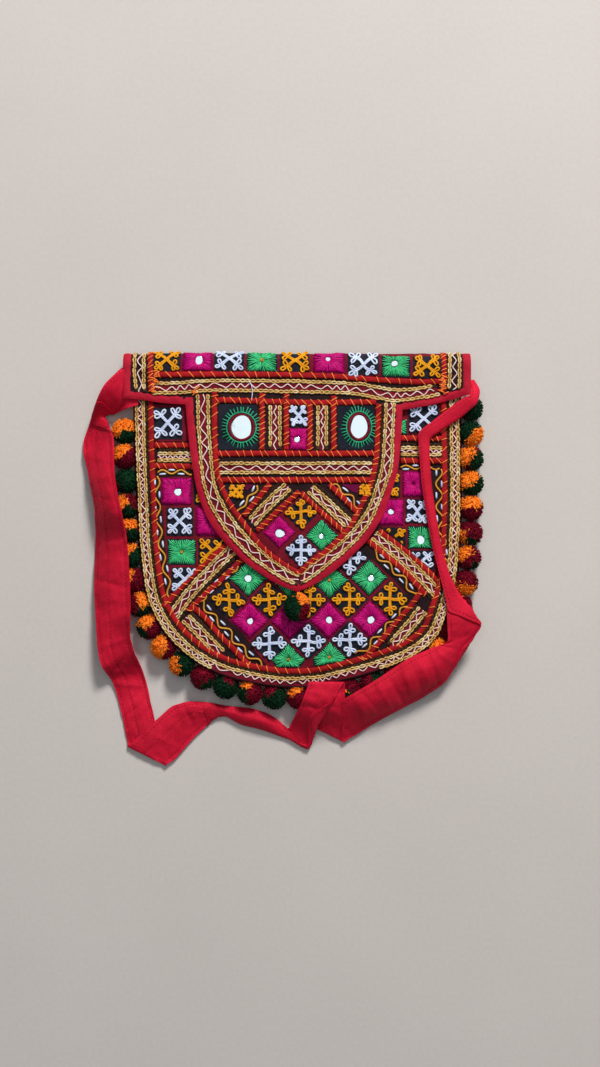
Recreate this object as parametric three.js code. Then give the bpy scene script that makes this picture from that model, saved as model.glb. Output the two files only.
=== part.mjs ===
import * as THREE from 'three'

// Embroidered shoulder bag, lying on its back with its flap closed and its strap laid over it.
// Millimetres, +Z up out of the front face, +Y to the bag's top edge, +X to the right.
// The origin is on the back panel's outer face, on the centre line, in the middle of the bag's height.

// Driving sizes
const flapWidth = 300
const flapThickness = 2.5
const flapClearance = 2.6
const topReach = 144.5
const foldDepth = 11
const bandDepth = 47.5
const tongueDrop = 159
const tongueWidth = 187
const bindingWidth = 7.8
const bindingThickness = 2.8

const bodyWidth = 282
const bodyHeight = 272
const mouthDepth = 5.5
const frontThickness = 2.5
const crown = 4.6
const backThickness = 2
const backLip = 3.2
const gussetThickness = 1.5
const gussetDepth = 11
const gussetBulge = 0.6
const gussetFlare = 1.8
const gussetTuck = 0.1

const pipingWidth = 5
const pipingThickness = 1.2
const pipingStep = 18
const frontPipingInset = 13.5
const tonguePipingInset = 20.5

const strapWidth = 36
const strapThickness = 1.6
const strapLayers = 4

const pompomRadius = 9.8
const pompomCount = 32
const pompomGap = 0.4
const pompomTurn = 1.1
const leftSeamStart = 50
const rightSeamStart = 30
const lockDepth = 0.13

const mirrorRadius = 9.6
const mirrorRing = 3
const mirrorThickness = 1
const smallMirrorRadius = 2.8
const leftMirrorClearance = 10.1
const rightMirrorClearance = 4.5
// A flat mirror needs a little more than the gap, for the cloth's curve beneath it
const mirrorSeat = 0.36

// Gap between two pieces that touch
const gap = 0.3

// Places that follow from them
const halfFlap = flapWidth / 2
const halfTongue = tongueWidth / 2
const halfBody = bodyWidth / 2
const foldStart = topReach - foldDepth
const tongueJoin = topReach - bandDepth
const tongueTip = tongueJoin - tongueDrop
const bodyTop = foldStart - mouthDepth
const bodyBottom = bodyTop - bodyHeight
const gussetFoot = backThickness + gap
const gussetHead = gussetFoot + gussetDepth
const rimTop = gussetHead + gap + frontThickness
const pompomHeight = pompomRadius + gap
const pompomTop = pompomHeight + pompomRadius

function cloth(name, color, roughness = 0.9) {
  return new THREE.MeshStandardMaterial({ name, color, roughness, metalness: 0 })
}
const crimson = cloth('strap_cloth', 0xb8142f)
const red = cloth('binding_cloth', 0xc8283c)
const maroon = cloth('gusset_cloth', 0x781428)
const embroidery = cloth('embroidered_cloth', 0x2a2026)
const pipingRed = cloth('piping', 0xaf231e)
const yarn = cloth('pompom_yarn', 0x5a1420, 1)
const mirrorGlass = new THREE.MeshStandardMaterial({
  name: 'mirror',
  color: 0xd8dce8,
  roughness: 0.1,
  metalness: 1,
})

const group = new THREE.Group()

function add(name, geometry, material) {
  const mesh = new THREE.Mesh(geometry, material)
  mesh.name = name
  group.add(mesh)
  return mesh
}

// Cloth of one thickness, or one per row, about a grid of points on its middle surface.
// rows[i][j] is a point, and keep(i, j) says whether the cell beyond it is cloth.
function clothGeometry(rows, thickness, keep = () => true) {
  const columnCount = rows[0].length
  const cells = []
  for (let i = 0; i < rows.length - 1; i++) {
    for (let j = 0; j < columnCount - 1; j++) {
      if (keep(i, j)) cells.push([[i, j], [i + 1, j], [i + 1, j + 1], [i, j + 1]])
    }
  }
  const at = ([i, j]) => i * columnCount + j
  const points = rows.flat()
  const normals = points.map(() => new THREE.Vector3())
  const faces = cells.flatMap((cell) => {
    const [a, b, c, d] = cell.map(at)
    return [[a, b, c], [a, c, d]]
  })
  for (const face of faces) {
    const [a, b, c] = face.map((k) => points[k])
    const normal = b.clone().sub(a).cross(c.clone().sub(a))
    for (const k of face) normals[k].add(normal)
  }
  const half = (k) => (Array.isArray(thickness) ? thickness[Math.floor(k / columnCount)] : thickness) / 2
  const upper = points.map((p, k) => p.clone().addScaledVector(normals[k].normalize(), half(k)))
  const lower = points.map((p, k) => p.clone().addScaledVector(normals[k], -half(k)))
  const triangles = []
  const edges = new Map()
  for (const [a, b, c] of faces) {
    triangles.push(upper[a], upper[b], upper[c], lower[a], lower[c], lower[b])
    for (const [from, to] of [[a, b], [b, c], [c, a]]) {
      const back = `${to},${from}`
      if (edges.has(back)) edges.delete(back)
      else edges.set(`${from},${to}`, [from, to])
    }
  }
  for (const [from, to] of edges.values()) {
    triangles.push(upper[from], lower[from], lower[to], upper[from], lower[to], upper[to])
  }
  return new THREE.BufferGeometry().setFromPoints(triangles)
}

// The line at a distance to the left of a line of 2-D points, mitred at its corners
function offsetLine(line, distance) {
  return line.map((point, k) => {
    const before = line[Math.max(k - 1, 0)]
    const after = line[Math.min(k + 1, line.length - 1)]
    const fromBefore = point.clone().sub(before)
    const toAfter = after.clone().sub(point)
    const incoming = (k === 0 ? toAfter : fromBefore).clone().normalize()
    const outgoing = (k === line.length - 1 ? fromBefore : toAfter).clone().normalize()
    const left = new THREE.Vector2(-incoming.y - outgoing.y, incoming.x + outgoing.x)
    return point.clone().addScaledVector(left, distance / (1 + incoming.dot(outgoing)))
  })
}

// Body outline. down is a share of the body's height from the mouth, and left and right are shares of half
// its width.
const bodyOutline = [
  { down: 0.0, left: 0.995, right: 0.997 },
  { down: 0.12, left: 0.996, right: 0.998 },
  { down: 0.27, left: 0.99, right: 1.003 },
  { down: 0.41, left: 0.978, right: 1.003 },
  { down: 0.52, left: 0.968, right: 0.998 },
  { down: 0.62, left: 0.95, right: 0.985 },
  { down: 0.71, left: 0.922, right: 0.955 },
  { down: 0.78, left: 0.868, right: 0.911 },
  { down: 0.835, left: 0.8, right: 0.868 },
  { down: 0.88, left: 0.72, right: 0.785 },
  { down: 0.92, left: 0.62, right: 0.655 },
  { down: 0.955, left: 0.495, right: 0.46 },
  { down: 0.98, left: 0.345, right: 0.28 },
  { down: 1.0, left: 0.12, right: 0.1 },
]
const bodyRow = ({ down, left, right }) => {
  const y = bodyTop - down * bodyHeight
  return [new THREE.Vector2(-left * halfBody, y), new THREE.Vector2(right * halfBody, y)]
}
const bodyRows = bodyOutline.map(bodyRow)
// From the left of the mouth down, along the bottom and up to the right of the mouth
const bodyEdge = [...bodyRows.map(([left]) => left), ...bodyRows.map(([, right]) => right).reverse()]

// Soft hollows and swellings of the front, as shares of half the body's width and of its height
const dents = [
  { x: -0.55, down: 0.5, reach: 0.28, depth: 0.9 },
  { x: 0.6, down: 0.62, reach: 0.26, depth: 0.8 },
  { x: 0.1, down: 0.86, reach: 0.3, depth: -0.6 },
  { x: -0.15, down: 0.3, reach: 0.34, depth: -0.5 },
]

// Height of the front panel's outer face, level at the rim and raised to the crown inside it
function frontTop(x, y) {
  const across = THREE.MathUtils.clamp(x / halfBody, -1, 1)
  const along = THREE.MathUtils.clamp((y - (bodyTop + bodyBottom) / 2) / (bodyHeight / 2), -1, 1)
  const inside = (1 - across ** 2) * (1 - along ** 2)
  let height = rimTop + crown * inside
  for (const { x: dentX, down, reach, depth } of dents) {
    const away = Math.hypot(across - dentX, (bodyTop - y) / halfBody - (down * bodyHeight) / halfBody) / reach
    height -= depth * inside * Math.exp(-away * away)
  }
  return height
}

// Front panel
const frontColumns = 9
const frontGrid = bodyRows.map(([left, right]) =>
  Array.from({ length: frontColumns }, (_, j) => {
    const { x, y } = left.clone().lerp(right, j / (frontColumns - 1))
    return new THREE.Vector3(x, y, frontTop(x, y) - frontThickness / 2)
  }),
)
add('front_panel', clothGeometry(frontGrid, frontThickness), embroidery)

// Gusset, from under the front's rim down to the back panel. out is outward from the front's edge. It leans
// in at its head and out at its foot, so both are a little short of its depth.
const headEase = 0.25
const footEase = 0.2
const bulgeShare = 0.72
const gussetSection = [
  { out: -gussetThickness / 2 - gussetTuck, z: gussetHead - headEase },
  { out: gussetBulge, z: Math.min(pompomHeight, gussetFoot + gussetDepth * bulgeShare) },
  { out: gussetFlare, z: gussetFoot + footEase },
]
const gussetLines = gussetSection.map(({ out }) => offsetLine(bodyEdge, -out))
const gussetGrid = bodyEdge.map((_, k) =>
  gussetSection.map(({ z }, j) => new THREE.Vector3(gussetLines[j][k].x, gussetLines[j][k].y, z)).reverse(),
)
add('gusset', clothGeometry(gussetGrid, gussetThickness), maroon)

// Back panel, which runs up to the flap
const backEdge = offsetLine(bodyEdge, -backLip)
const backTop = foldStart - gap
const backShape = new THREE.Shape([
  new THREE.Vector2(backEdge[0].x, backTop),
  ...backEdge.slice(1, -1),
  new THREE.Vector2(backEdge.at(-1).x, backTop),
])
add('back_panel', new THREE.ExtrudeGeometry(backShape, { depth: backThickness, bevelEnabled: false }), maroon)

// The flap's middle surface, from its flat pattern. Past foldStart the pattern runs round the fold to the
// back.
const footClearance = 0.1
const flapFoot = bindingThickness / 2 + footClearance
const edgeLift = 2
const liftShare = 0.9
const foldReach = foldDepth - flapThickness / 2
// The fold is a little flatter than half a circle
const foldFlatness = 0.97
const foldLength = Math.PI * foldReach * foldFlatness
const foldEnd = foldStart + foldLength

function flapMiddle(x, y) {
  const lifted = THREE.MathUtils.smoothstep(Math.abs(x), halfFlap * liftShare, halfFlap)
  return frontTop(x, y) + flapClearance + flapThickness / 2 + edgeLift * lifted
}

// The point at a height above the flap's middle surface
function onFlap(x, v, above = 0) {
  if (v <= foldStart) return new THREE.Vector3(x, v, flapMiddle(x, v) + above)
  const turn = (Math.PI * (v - foldStart)) / foldLength
  const top = flapMiddle(x, foldStart)
  const rise = (top - flapFoot) / 2
  return new THREE.Vector3(
    x,
    foldStart + (foldReach + above) * Math.sin(turn),
    flapFoot + rise + (rise + above) * Math.cos(turn),
  )
}

// Lower edge of the flap's band, from each side to where the tongue joins it. across is a share of half the
// flap's width, and rise, the height over the join, is one of the band's depth.
const bandOutline = {
  left: [
    { across: 1, rise: 0.167 },
    { across: 0.89, rise: 0.14 },
    { across: 0.77, rise: 0.085 },
    { across: 0.641, rise: 0.055 },
  ],
  right: [
    { across: 1, rise: 0.243 },
    { across: 0.89, rise: 0.146 },
    { across: 0.77, rise: 0.049 },
    { across: 0.606, rise: -0.046 },
  ],
}
// Outline of the tongue. down is a share of its drop, and left and right shares of half its width.
const tongueOutline = [
  { down: 0.1, left: 1.01, right: 0.966 },
  { down: 0.22, left: 0.988, right: 0.951 },
  { down: 0.345, left: 0.955, right: 0.926 },
  { down: 0.465, left: 0.915, right: 0.866 },
  { down: 0.56, left: 0.856, right: 0.811 },
  { down: 0.64, left: 0.785, right: 0.74 },
  { down: 0.71, left: 0.697, right: 0.66 },
  { down: 0.78, left: 0.583, right: 0.549 },
  { down: 0.843, left: 0.47, right: 0.431 },
  { down: 0.9, left: 0.335, right: 0.31 },
  { down: 0.955, left: 0.185, right: 0.17 },
]
const foldSteps = 6
const foldRows = Array.from({ length: foldSteps + 1 }, (_, k) => foldEnd - (foldLength * k) / foldSteps)
const bandRows = [...foldRows, (foldStart + tongueJoin) / 2]
const flapPoint = (x, v) => new THREE.Vector2(x, v)
const tongueRows = tongueOutline.map(({ down, left, right }) => {
  const v = tongueJoin - down * tongueDrop
  return [flapPoint(-left * halfTongue, v), flapPoint(right * halfTongue, v)]
})
const bandPoints = (outline, side) =>
  outline.map(({ across, rise }) => flapPoint(side * across * halfFlap, tongueJoin + rise * bandDepth))
const flapEdge = [
  ...bandRows.map((v) => flapPoint(-halfFlap, v)),
  ...bandPoints(bandOutline.left, -1),
  ...tongueRows.map(([left]) => left),
  flapPoint(0, tongueTip),
  ...tongueRows.map(([, right]) => right).reverse(),
  ...bandPoints(bandOutline.right, 1).reverse(),
  ...bandRows.map((v) => flapPoint(halfFlap, v)).reverse(),
]

// Flap binding
const bindingInner = offsetLine(flapEdge, bindingWidth)
const ribbonGrid = (outer, inner) =>
  outer.map((point, k) => [onFlap(inner[k].x, inner[k].y), onFlap(point.x, point.y)])
const bindingGrid = ribbonGrid(flapEdge, bindingInner).map((row) => row.reverse())
add('flap_binding', clothGeometry(bindingGrid, bindingThickness), red)

// Flap, inside the binding. The tongue takes the columns from tongueFirst to tongueLast, and the band takes
// all of them.
const flapInner = offsetLine(flapEdge, bindingWidth + gap)
const bandCount = bandRows.length
const tongueColumns = 6
const tongueFirst = bandOutline.left.length - 1
const tongueLast = tongueFirst + tongueColumns
const lastColumn = tongueLast + bandOutline.right.length - 1
const joinPoint = bandCount + tongueFirst
const lastPoint = flapInner.length - 1

// One row between two points of the tongue's edges, carried past them where the row has no band
const tongueRow = (left, right) =>
  Array.from({ length: lastColumn + 1 }, (_, j) => {
    const share = (THREE.MathUtils.clamp(j, tongueFirst, tongueLast) - tongueFirst) / tongueColumns
    return left.clone().lerp(right, share)
  })
const bandFoot = tongueRow(flapInner[joinPoint], flapInner[lastPoint - joinPoint])
for (let j = 0; j < tongueFirst; j++) {
  bandFoot[j] = flapInner[bandCount + j]
  bandFoot[lastColumn - j] = flapInner[lastPoint - bandCount - j]
}
const flapRows = [...bandRows.map((v) => bandFoot.map(({ x }) => flapPoint(x, v))), bandFoot]
for (let i = joinPoint + 1; i <= joinPoint + tongueRows.length; i++) {
  flapRows.push(tongueRow(flapInner[i], flapInner[lastPoint - i]))
}
const isFlap = (i, j) => i < bandCount || (j >= tongueFirst && j < tongueLast)
const flapGrid = flapRows.map((row) => row.map(({ x, y }) => onFlap(x, y)))
add('flap', clothGeometry(flapGrid, flapThickness, isFlap), embroidery)

// Raised red strips, which follow the edges of the front, the tongue and the band
const onFront = (x, y, above) => new THREE.Vector3(x, y, frontTop(x, y) + above)
const pipingAbove = gap + pipingThickness / 2

// Splits a line's stretches so that none is longer than a step
function subdivide(line, step) {
  return line.flatMap((point, k) => {
    if (k === 0) return [point]
    const from = line[k - 1]
    const parts = Math.ceil(from.distanceTo(point) / step)
    return Array.from({ length: parts }, (_, part) => from.clone().lerp(point, (part + 1) / parts))
  })
}

function pipingGrid(course, place) {
  const line = subdivide(course, pipingStep)
  const outer = offsetLine(line, -pipingWidth / 2)
  const inner = offsetLine(line, pipingWidth / 2)
  return line.map((_, k) => [place(inner[k].x, inner[k].y), place(outer[k].x, outer[k].y)].reverse())
}
const onFlapFace = (x, v) => onFlap(x, v, flapThickness / 2 + pipingAbove)

const frontPipingLine = offsetLine(bodyEdge, frontPipingInset).slice(1, -1)
add(
  'front_piping',
  clothGeometry(pipingGrid(frontPipingLine, (x, y) => onFront(x, y, pipingAbove)), pipingThickness),
  pipingRed,
)
const tongueEdge = flapEdge.slice(joinPoint, lastPoint - joinPoint + 1)
const tonguePipingLine = offsetLine(tongueEdge, tonguePipingInset)
tonguePipingLine[0].x = tonguePipingLine[1].x
tonguePipingLine.at(-1).x = tonguePipingLine.at(-2).x
add('tongue_piping', clothGeometry(pipingGrid(tonguePipingLine, onFlapFace), pipingThickness), pipingRed)

// across is a share of half the flap's width, and down one of the band's depth
const bandPiping = [
  { across: -0.842, down: 0.244 },
  { across: -0.842, down: 0.396 },
  { across: -0.42, down: 0.389 },
  { across: 0.0, down: 0.396 },
  { across: 0.4, down: 0.457 },
  { across: 0.842, down: 0.511 },
  { across: 0.842, down: 0.244 },
]
const bandPipingLine = bandPiping.map(({ across, down }) =>
  flapPoint(across * halfFlap, topReach - down * bandDepth),
)
add('band_piping', clothGeometry(pipingGrid(bandPipingLine, onFlapFace), pipingThickness), pipingRed)

// Strap sections from its left end to its right end. a and b are the two edges, across and up, in
// hundredths of the flap's width. rise is how high the cloth's underside lies at a, between them and at b, in
// hundredths of the height of a pompom's top, over the floor or over the front's face.
const strapSections = [
  { a: [-46.0, 43.7], b: [-45.4, 33.3], over: 'front', rise: [2, 2, 2] },
  { a: [-50.3, 44.0], b: [-49.1, 32.2], over: 'front', rise: [4, 4, 5] },
  { a: [-55.2, 39.1], b: [-53.4, 30.7], over: 'floor', rise: [48, 60, 70] },
  { a: [-57.5, 34.5], b: [-55.5, 30.5], over: 'floor', rise: [26, 42, 58] },
  { a: [-59.2, 31.0], b: [-56.3, 29.9], over: 'floor', rise: [10, 26, 44] },
  { a: [-60.6, 27.3], b: [-54.6, 28.4], over: 'floor', rise: [2, 24, 58] },
  { a: [-62.4, 22.7], b: [-52.9, 23.8], over: 'floor', rise: [2, 38, 84] },
  { a: [-62.1, 19.3], b: [-52.6, 18.7], over: 'floor', rise: [2, 50, 98] },
  { a: [-60.6, 14.1], b: [-52.3, 13.8], over: 'floor', rise: [2, 60, 102] },
  { a: [-59.5, 8.9], b: [-51.4, 8.6], over: 'floor', rise: [2, 72, 106] },
  { a: [-58.3, 3.4], b: [-50.0, 2.9], over: 'floor', rise: [2, 76, 108] },
  { a: [-58.5, -2.9], b: [-49.1, -3.4], over: 'floor', rise: [2, 72, 108] },
  { a: [-58.8, -11.5], b: [-48.3, -11.5], over: 'floor', rise: [2, 72, 108] },
  { a: [-58.8, -20.1], b: [-47.8, -20.1], over: 'floor', rise: [10, 64, 106] },
  { a: [-58.2, -28.2], b: [-47.7, -27.6], over: 'floor', rise: [8, 54, 90] },
  { a: [-57.3, -38.8], b: [-48.0, -33.3], over: 'floor', rise: [2, 16, 40] },
  { a: [-56.3, -42.5], b: [-47.0, -37.9], over: 'floor', rise: [2, 4, 14] },
  { a: [-53.7, -47.1], b: [-44.8, -44.5], over: 'floor', rise: [2, 2, 2] },
  { a: [-52.0, -52.9], b: [-43.4, -50.0], over: 'floor', rise: [2, 2, 2] },
  { a: [-50.4, -59.8], b: [-42.0, -56.9], over: 'floor', rise: [2, 2, 2] },
  { a: [-49.3, -65.6], b: [-38.6, -70.8], over: 'floor', rise: [2, 2, 2] },
  { a: [-49.7, -66.4], b: [-38.4, -72.0], over: 'floor', rise: [7, 7, 7] },
  { a: [-48.8, -65.6], b: [-38.2, -71.3], over: 'floor', rise: [13, 13, 12] },
  { a: [-45.4, -62.4], b: [-35.6, -69.8], over: 'floor', rise: [13, 12, 4] },
  { a: [-41.4, -58.6], b: [-33.0, -66.7], over: 'floor', rise: [13, 6, 2] },
  { a: [-36.5, -54.2], b: [-29.3, -62.6], over: 'floor', rise: [12, 8, 2] },
  { a: [-31.9, -52.9], b: [-25.3, -59.2], over: 'floor', rise: [22, 14, 2] },
  { a: [-26.1, -53.2], b: [-23.0, -57.2], over: 'floor', rise: [12, 8, 2] },
  { a: [-21.0, -54.3], b: [-20.7, -56.9], over: 'floor', rise: [4, 4, 4] },
  { a: [-14.1, -54.9], b: [-16.4, -59.5], over: 'floor', rise: [6, 8, 2] },
  { a: [-8.9, -56.3], b: [-10.6, -60.8], over: 'floor', rise: [8, 10, 2] },
  { a: [-4.9, -58.8], b: [-2.0, -63.9], over: 'floor', rise: [2, 2, 2] },
  { a: [-2.6, -61.2], b: [3.4, -67.2], over: 'floor', rise: [7, 9, 7] },
  { a: [-1.6, -59.0], b: [4.4, -64.6], over: 'floor', rise: [22, 20, 18] },
  { a: [0.2, -55.0], b: [6.4, -58.6], over: 'floor', rise: [74, 74, 62] },
  { a: [1.6, -51.6], b: [10.2, -52.1], over: 'floor', rise: [118, 118, 118] },
  { a: [3.4, -46.8], b: [13.2, -46.8], over: 'floor', rise: [118, 118, 118] },
  { a: [3.5, -46.0], b: [13.4, -46.0], over: 'floor', rise: [112, 112, 112] },
  { a: [3.4, -46.8], b: [13.8, -46.9], over: 'floor', rise: [105, 105, 105] },
  { a: [3.7, -51.2], b: [13.8, -51.5], over: 'floor', rise: [105, 105, 105] },
  { a: [4.2, -54.7], b: [13.8, -55.7], over: 'floor', rise: [76, 78, 80] },
  { a: [5.6, -60.3], b: [13.2, -64.0], over: 'floor', rise: [2, 2, 2] },
  { a: [5.3, -61.1], b: [13.2, -65.0], over: 'floor', rise: [8, 8, 8] },
  { a: [6.3, -60.1], b: [14.0, -64.4], over: 'floor', rise: [14, 14, 12] },
  { a: [9.5, -55.9], b: [17.0, -62.6], over: 'floor', rise: [62, 42, 6] },
  { a: [13.8, -51.1], b: [21.8, -59.5], over: 'floor', rise: [116, 72, 4] },
  { a: [22.7, -46.0], b: [28.4, -55.7], over: 'floor', rise: [106, 98, 22] },
  { a: [31.9, -39.9], b: [36.5, -51.4], over: 'floor', rise: [100, 104, 28] },
  { a: [38.2, -37.1], b: [42.8, -47.1], over: 'floor', rise: [102, 108, 50] },
  { a: [42.9, -35.4], b: [52.2, -31.6], over: 'floor', rise: [104, 106, 96] },
  { a: [43.4, -34.6], b: [53.4, -30.4], over: 'floor', rise: [110, 111, 102] },
  { a: [43.3, -33.0], b: [52.6, -29.2], over: 'floor', rise: [116, 117, 108] },
  { a: [43.2, -29.3], b: [50.0, -25.0], over: 'floor', rise: [112, 116, 110] },
  { a: [43.1, -24.1], b: [46.5, -21.3], over: 'front', rise: [11, 11, 14] },
  { a: [41.4, -17.2], b: [43.7, -15.8], over: 'front', rise: [11, 11, 11] },
  { a: [39.1, -8.3], b: [41.4, -7.8], over: 'front', rise: [11, 11, 11] },
  { a: [37.4, 0.9], b: [39.8, 1.1], over: 'front', rise: [11, 11, 11] },
  { a: [35.9, 10.1], b: [38.5, 10.1], over: 'front', rise: [11, 11, 11] },
  { a: [35.3, 17.8], b: [37.9, 17.8], over: 'front', rise: [11, 11, 11] },
  { a: [34.8, 25.3], b: [37.9, 23.6], over: 'front', rise: [11, 11, 11] },
  { a: [39.4, 28.7], b: [42.2, 26.4], over: 'front', rise: [11, 11, 11] },
  { a: [44.5, 32.3], b: [47.1, 29.7], over: 'front', rise: [16, 16, 18] },
  { a: [50.3, 34.6], b: [51.6, 33.4], over: 'floor', rise: [108, 108, 108] },
  { a: [50.9, 37.6], b: [52.6, 37.4], over: 'floor', rise: [92, 92, 92] },
  { a: [49.4, 40.2], b: [51.0, 40.8], over: 'floor', rise: [46, 46, 46] },
]
const strapShare = flapWidth / 100

function strapRow({ a, b, over, rise }) {
  const base = (x, y) => (over === 'front' ? frontTop(x, y) : 0)
  const ends = [a, b].map(([across, up]) => new THREE.Vector2(across * strapShare, up * strapShare))
  const row = rise.map((share, j) => {
    const { x, y } = ends[0].clone().lerp(ends[1], j / 2)
    return new THREE.Vector3(x, y, base(x, y) + (share * pompomTop) / 100)
  })
  // Where the cloth is gathered to less than its width, it lies in layers
  const width = row[0].distanceTo(row[1]) + row[1].distanceTo(row[2])
  const layers = THREE.MathUtils.clamp(strapWidth / width, 1, strapLayers)
  const thickness = strapThickness * layers
  for (const point of row) point.z += thickness / 2
  return { row, thickness }
}
const strapRows = strapSections.map(strapRow)
add(
  'strap',
  clothGeometry(strapRows.map(({ row }) => row), strapRows.map(({ thickness }) => thickness)),
  crimson,
)

// A ball of yarn locks: alternate points of a sphere are lock tips, and the partings between them lie deeper
function locksGeometry(radius, around = 10, bands = 7) {
  const geometry = new THREE.SphereGeometry(radius, around, bands)
  const position = geometry.attributes.position
  const point = new THREE.Vector3()
  for (let k = 0; k < position.count; k++) {
    const ring = Math.floor(k / (around + 1))
    const step = (k % (around + 1)) % around
    const parting = ring > 0 && ring < bands && (ring + step) % 2 === 1
    point.fromBufferAttribute(position, k).multiplyScalar(parting ? 1 - lockDepth : 1)
    position.setXYZ(k, point.x, point.y, point.z)
  }
  return geometry
}

// Pompoms along the seam, from the left edge of the flap round the bottom to its right edge
const pompomOut = gussetBulge + gussetThickness / 2 + pompomGap + pompomRadius
const pompomLine = offsetLine(bodyEdge, -pompomOut)
const seam = new THREE.CurvePath()
for (let k = 1; k < pompomLine.length; k++) seam.add(new THREE.LineCurve(pompomLine[k - 1], pompomLine[k]))
const seamLength = seam.getLength()
const firstPompom = leftSeamStart / seamLength
const lastPompom = 1 - rightSeamStart / seamLength
for (let k = 0; k < pompomCount; k++) {
  const share = firstPompom + ((lastPompom - firstPompom) * k) / (pompomCount - 1)
  const { x, y } = seam.getPointAt(share)
  const along = seam.getTangentAt(share)
  const pompom = add(`pompom_${String(k + 1).padStart(2, '0')}`, locksGeometry(pompomRadius), yarn)
  pompom.position.set(x, y, pompomHeight)
  // The end where it is sewn faces the seam, and each is turned differently about it
  pompom.quaternion.setFromUnitVectors(new THREE.Vector3(0, 1, 0), new THREE.Vector3(-along.y, along.x, 0))
  pompom.rotateY(pompomTurn * k)
}

// The larger ball at the tongue's tip, flattened where it lies on the front
const tasselRadius = { x: 11.6, y: 12.6, z: 7.5 }
const tasselY = tongueTip - tasselRadius.y - gap
const tassel = add('flap_tassel', locksGeometry(1, 12, 8), yarn)
tassel.scale.set(tasselRadius.x, tasselRadius.y, tasselRadius.z)
tassel.position.set(0, tasselY, frontTop(0, tasselY) + tasselRadius.z + gap)

// Mirrors: a disc in a raised stitched ring, fused in one turned body
const ringShoulder = 0.6
const ringCrest = 1.6
function mirrorGeometry(radius, ring, sides) {
  const profile = [
    [0, 0],
    [radius + ring, 0],
    [radius + ring, mirrorThickness * ringShoulder],
    [radius + ring / 2, mirrorThickness * ringCrest],
    [radius, mirrorThickness],
    [0, mirrorThickness],
  ]
  return new THREE.LatheGeometry(profile.map(([x, y]) => new THREE.Vector2(x, y)), sides)
}

// Sets a turned body, whose axis is its own Y, on a surface and tilts it to lie along that surface
const seatStep = 2
function seat(mesh, place, x, y) {
  const along = place(x + seatStep, y).sub(place(x - seatStep, y))
  const up = place(x, y + seatStep).sub(place(x, y - seatStep))
  mesh.position.copy(place(x, y))
  mesh.quaternion.setFromUnitVectors(new THREE.Vector3(0, 1, 0), along.cross(up).normalize())
}

// Where a mirror lies: across is a share of half the width of what it is on, and down one of its depth
const mirrorPlaces = {
  band: {
    at: ({ across, down }) => flapPoint(across * halfFlap, topReach - down * bandDepth),
    face: (x, y) => onFlap(x, y, flapThickness / 2 + mirrorSeat),
  },
  tongue: {
    at: ({ across, down }) => flapPoint(across * halfTongue, tongueJoin - down * tongueDrop),
    face: (x, y) => onFlap(x, y, flapThickness / 2 + mirrorSeat),
  },
  front: {
    at: ({ across, down }) => flapPoint(across * halfBody, bodyTop - down * bodyHeight),
    face: (x, y) => onFront(x, y, mirrorSeat),
  },
}
function addMirror(name, geometry, { on, ...place }) {
  const { at, face } = mirrorPlaces[on]
  const { x, y } = at(place)
  seat(add(name, geometry, mirrorGlass), face, x, y)
}

// The large mirrors keep their clearance to the tongue's piping
const largeMirror = mirrorGeometry(mirrorRadius, mirrorRing, 16)
const pipingInside = tonguePipingInset + pipingWidth / 2
const beside = (clearance) => 1 - (pipingInside + clearance + mirrorRadius + mirrorRing) / halfTongue
addMirror('mirror_left', largeMirror, { on: 'tongue', across: -beside(leftMirrorClearance), down: 0.109 })
addMirror('mirror_right', largeMirror, { on: 'tongue', across: beside(rightMirrorClearance), down: 0.106 })

// size is a share of the usual small mirror's radius
const smallMirrors = [
  { on: 'band', across: -0.563, down: 0.158, size: 1.15 },
  { on: 'band', across: 0.178, down: 0.137, size: 0.6 },
  { on: 'band', across: 0.56, down: 0.21, size: 0.9 },
  { on: 'tongue', across: 0.0, down: 0.176, size: 0.8 },
  { on: 'tongue', across: -0.157, down: 0.683, size: 1.3 },
  { on: 'tongue', across: 0.221, down: 0.699, size: 0.7 },
  { on: 'front', across: -0.73, down: 0.382, size: 0.95 },
  { on: 'front', across: -0.299, down: 0.656, size: 1.05 },
  { on: 'front', across: 0.452, down: 0.656, size: 1.0 },
  { on: 'front', across: -0.287, down: 0.792, size: 0.9 },
  { on: 'front', across: 0.196, down: 0.788, size: 0.9 },
  { on: 'front', across: 0.452, down: 0.788, size: 1.0 },
  { on: 'front', across: 0.574, down: 0.445, size: 0.8 },
  { on: 'front', across: 0.758, down: 0.534, size: 1.1 },
]
const ringShare = 0.3
smallMirrors.forEach(({ size, ...place }, k) => {
  const radius = smallMirrorRadius * size
  addMirror(`mirror_${String(k + 1).padStart(2, '0')}`, mirrorGeometry(radius, radius * ringShare, 8), place)
})

export default group
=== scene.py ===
import math

import bpy
import numpy as np
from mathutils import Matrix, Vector
from mathutils.geometry import delaunay_2d_cdt


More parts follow.
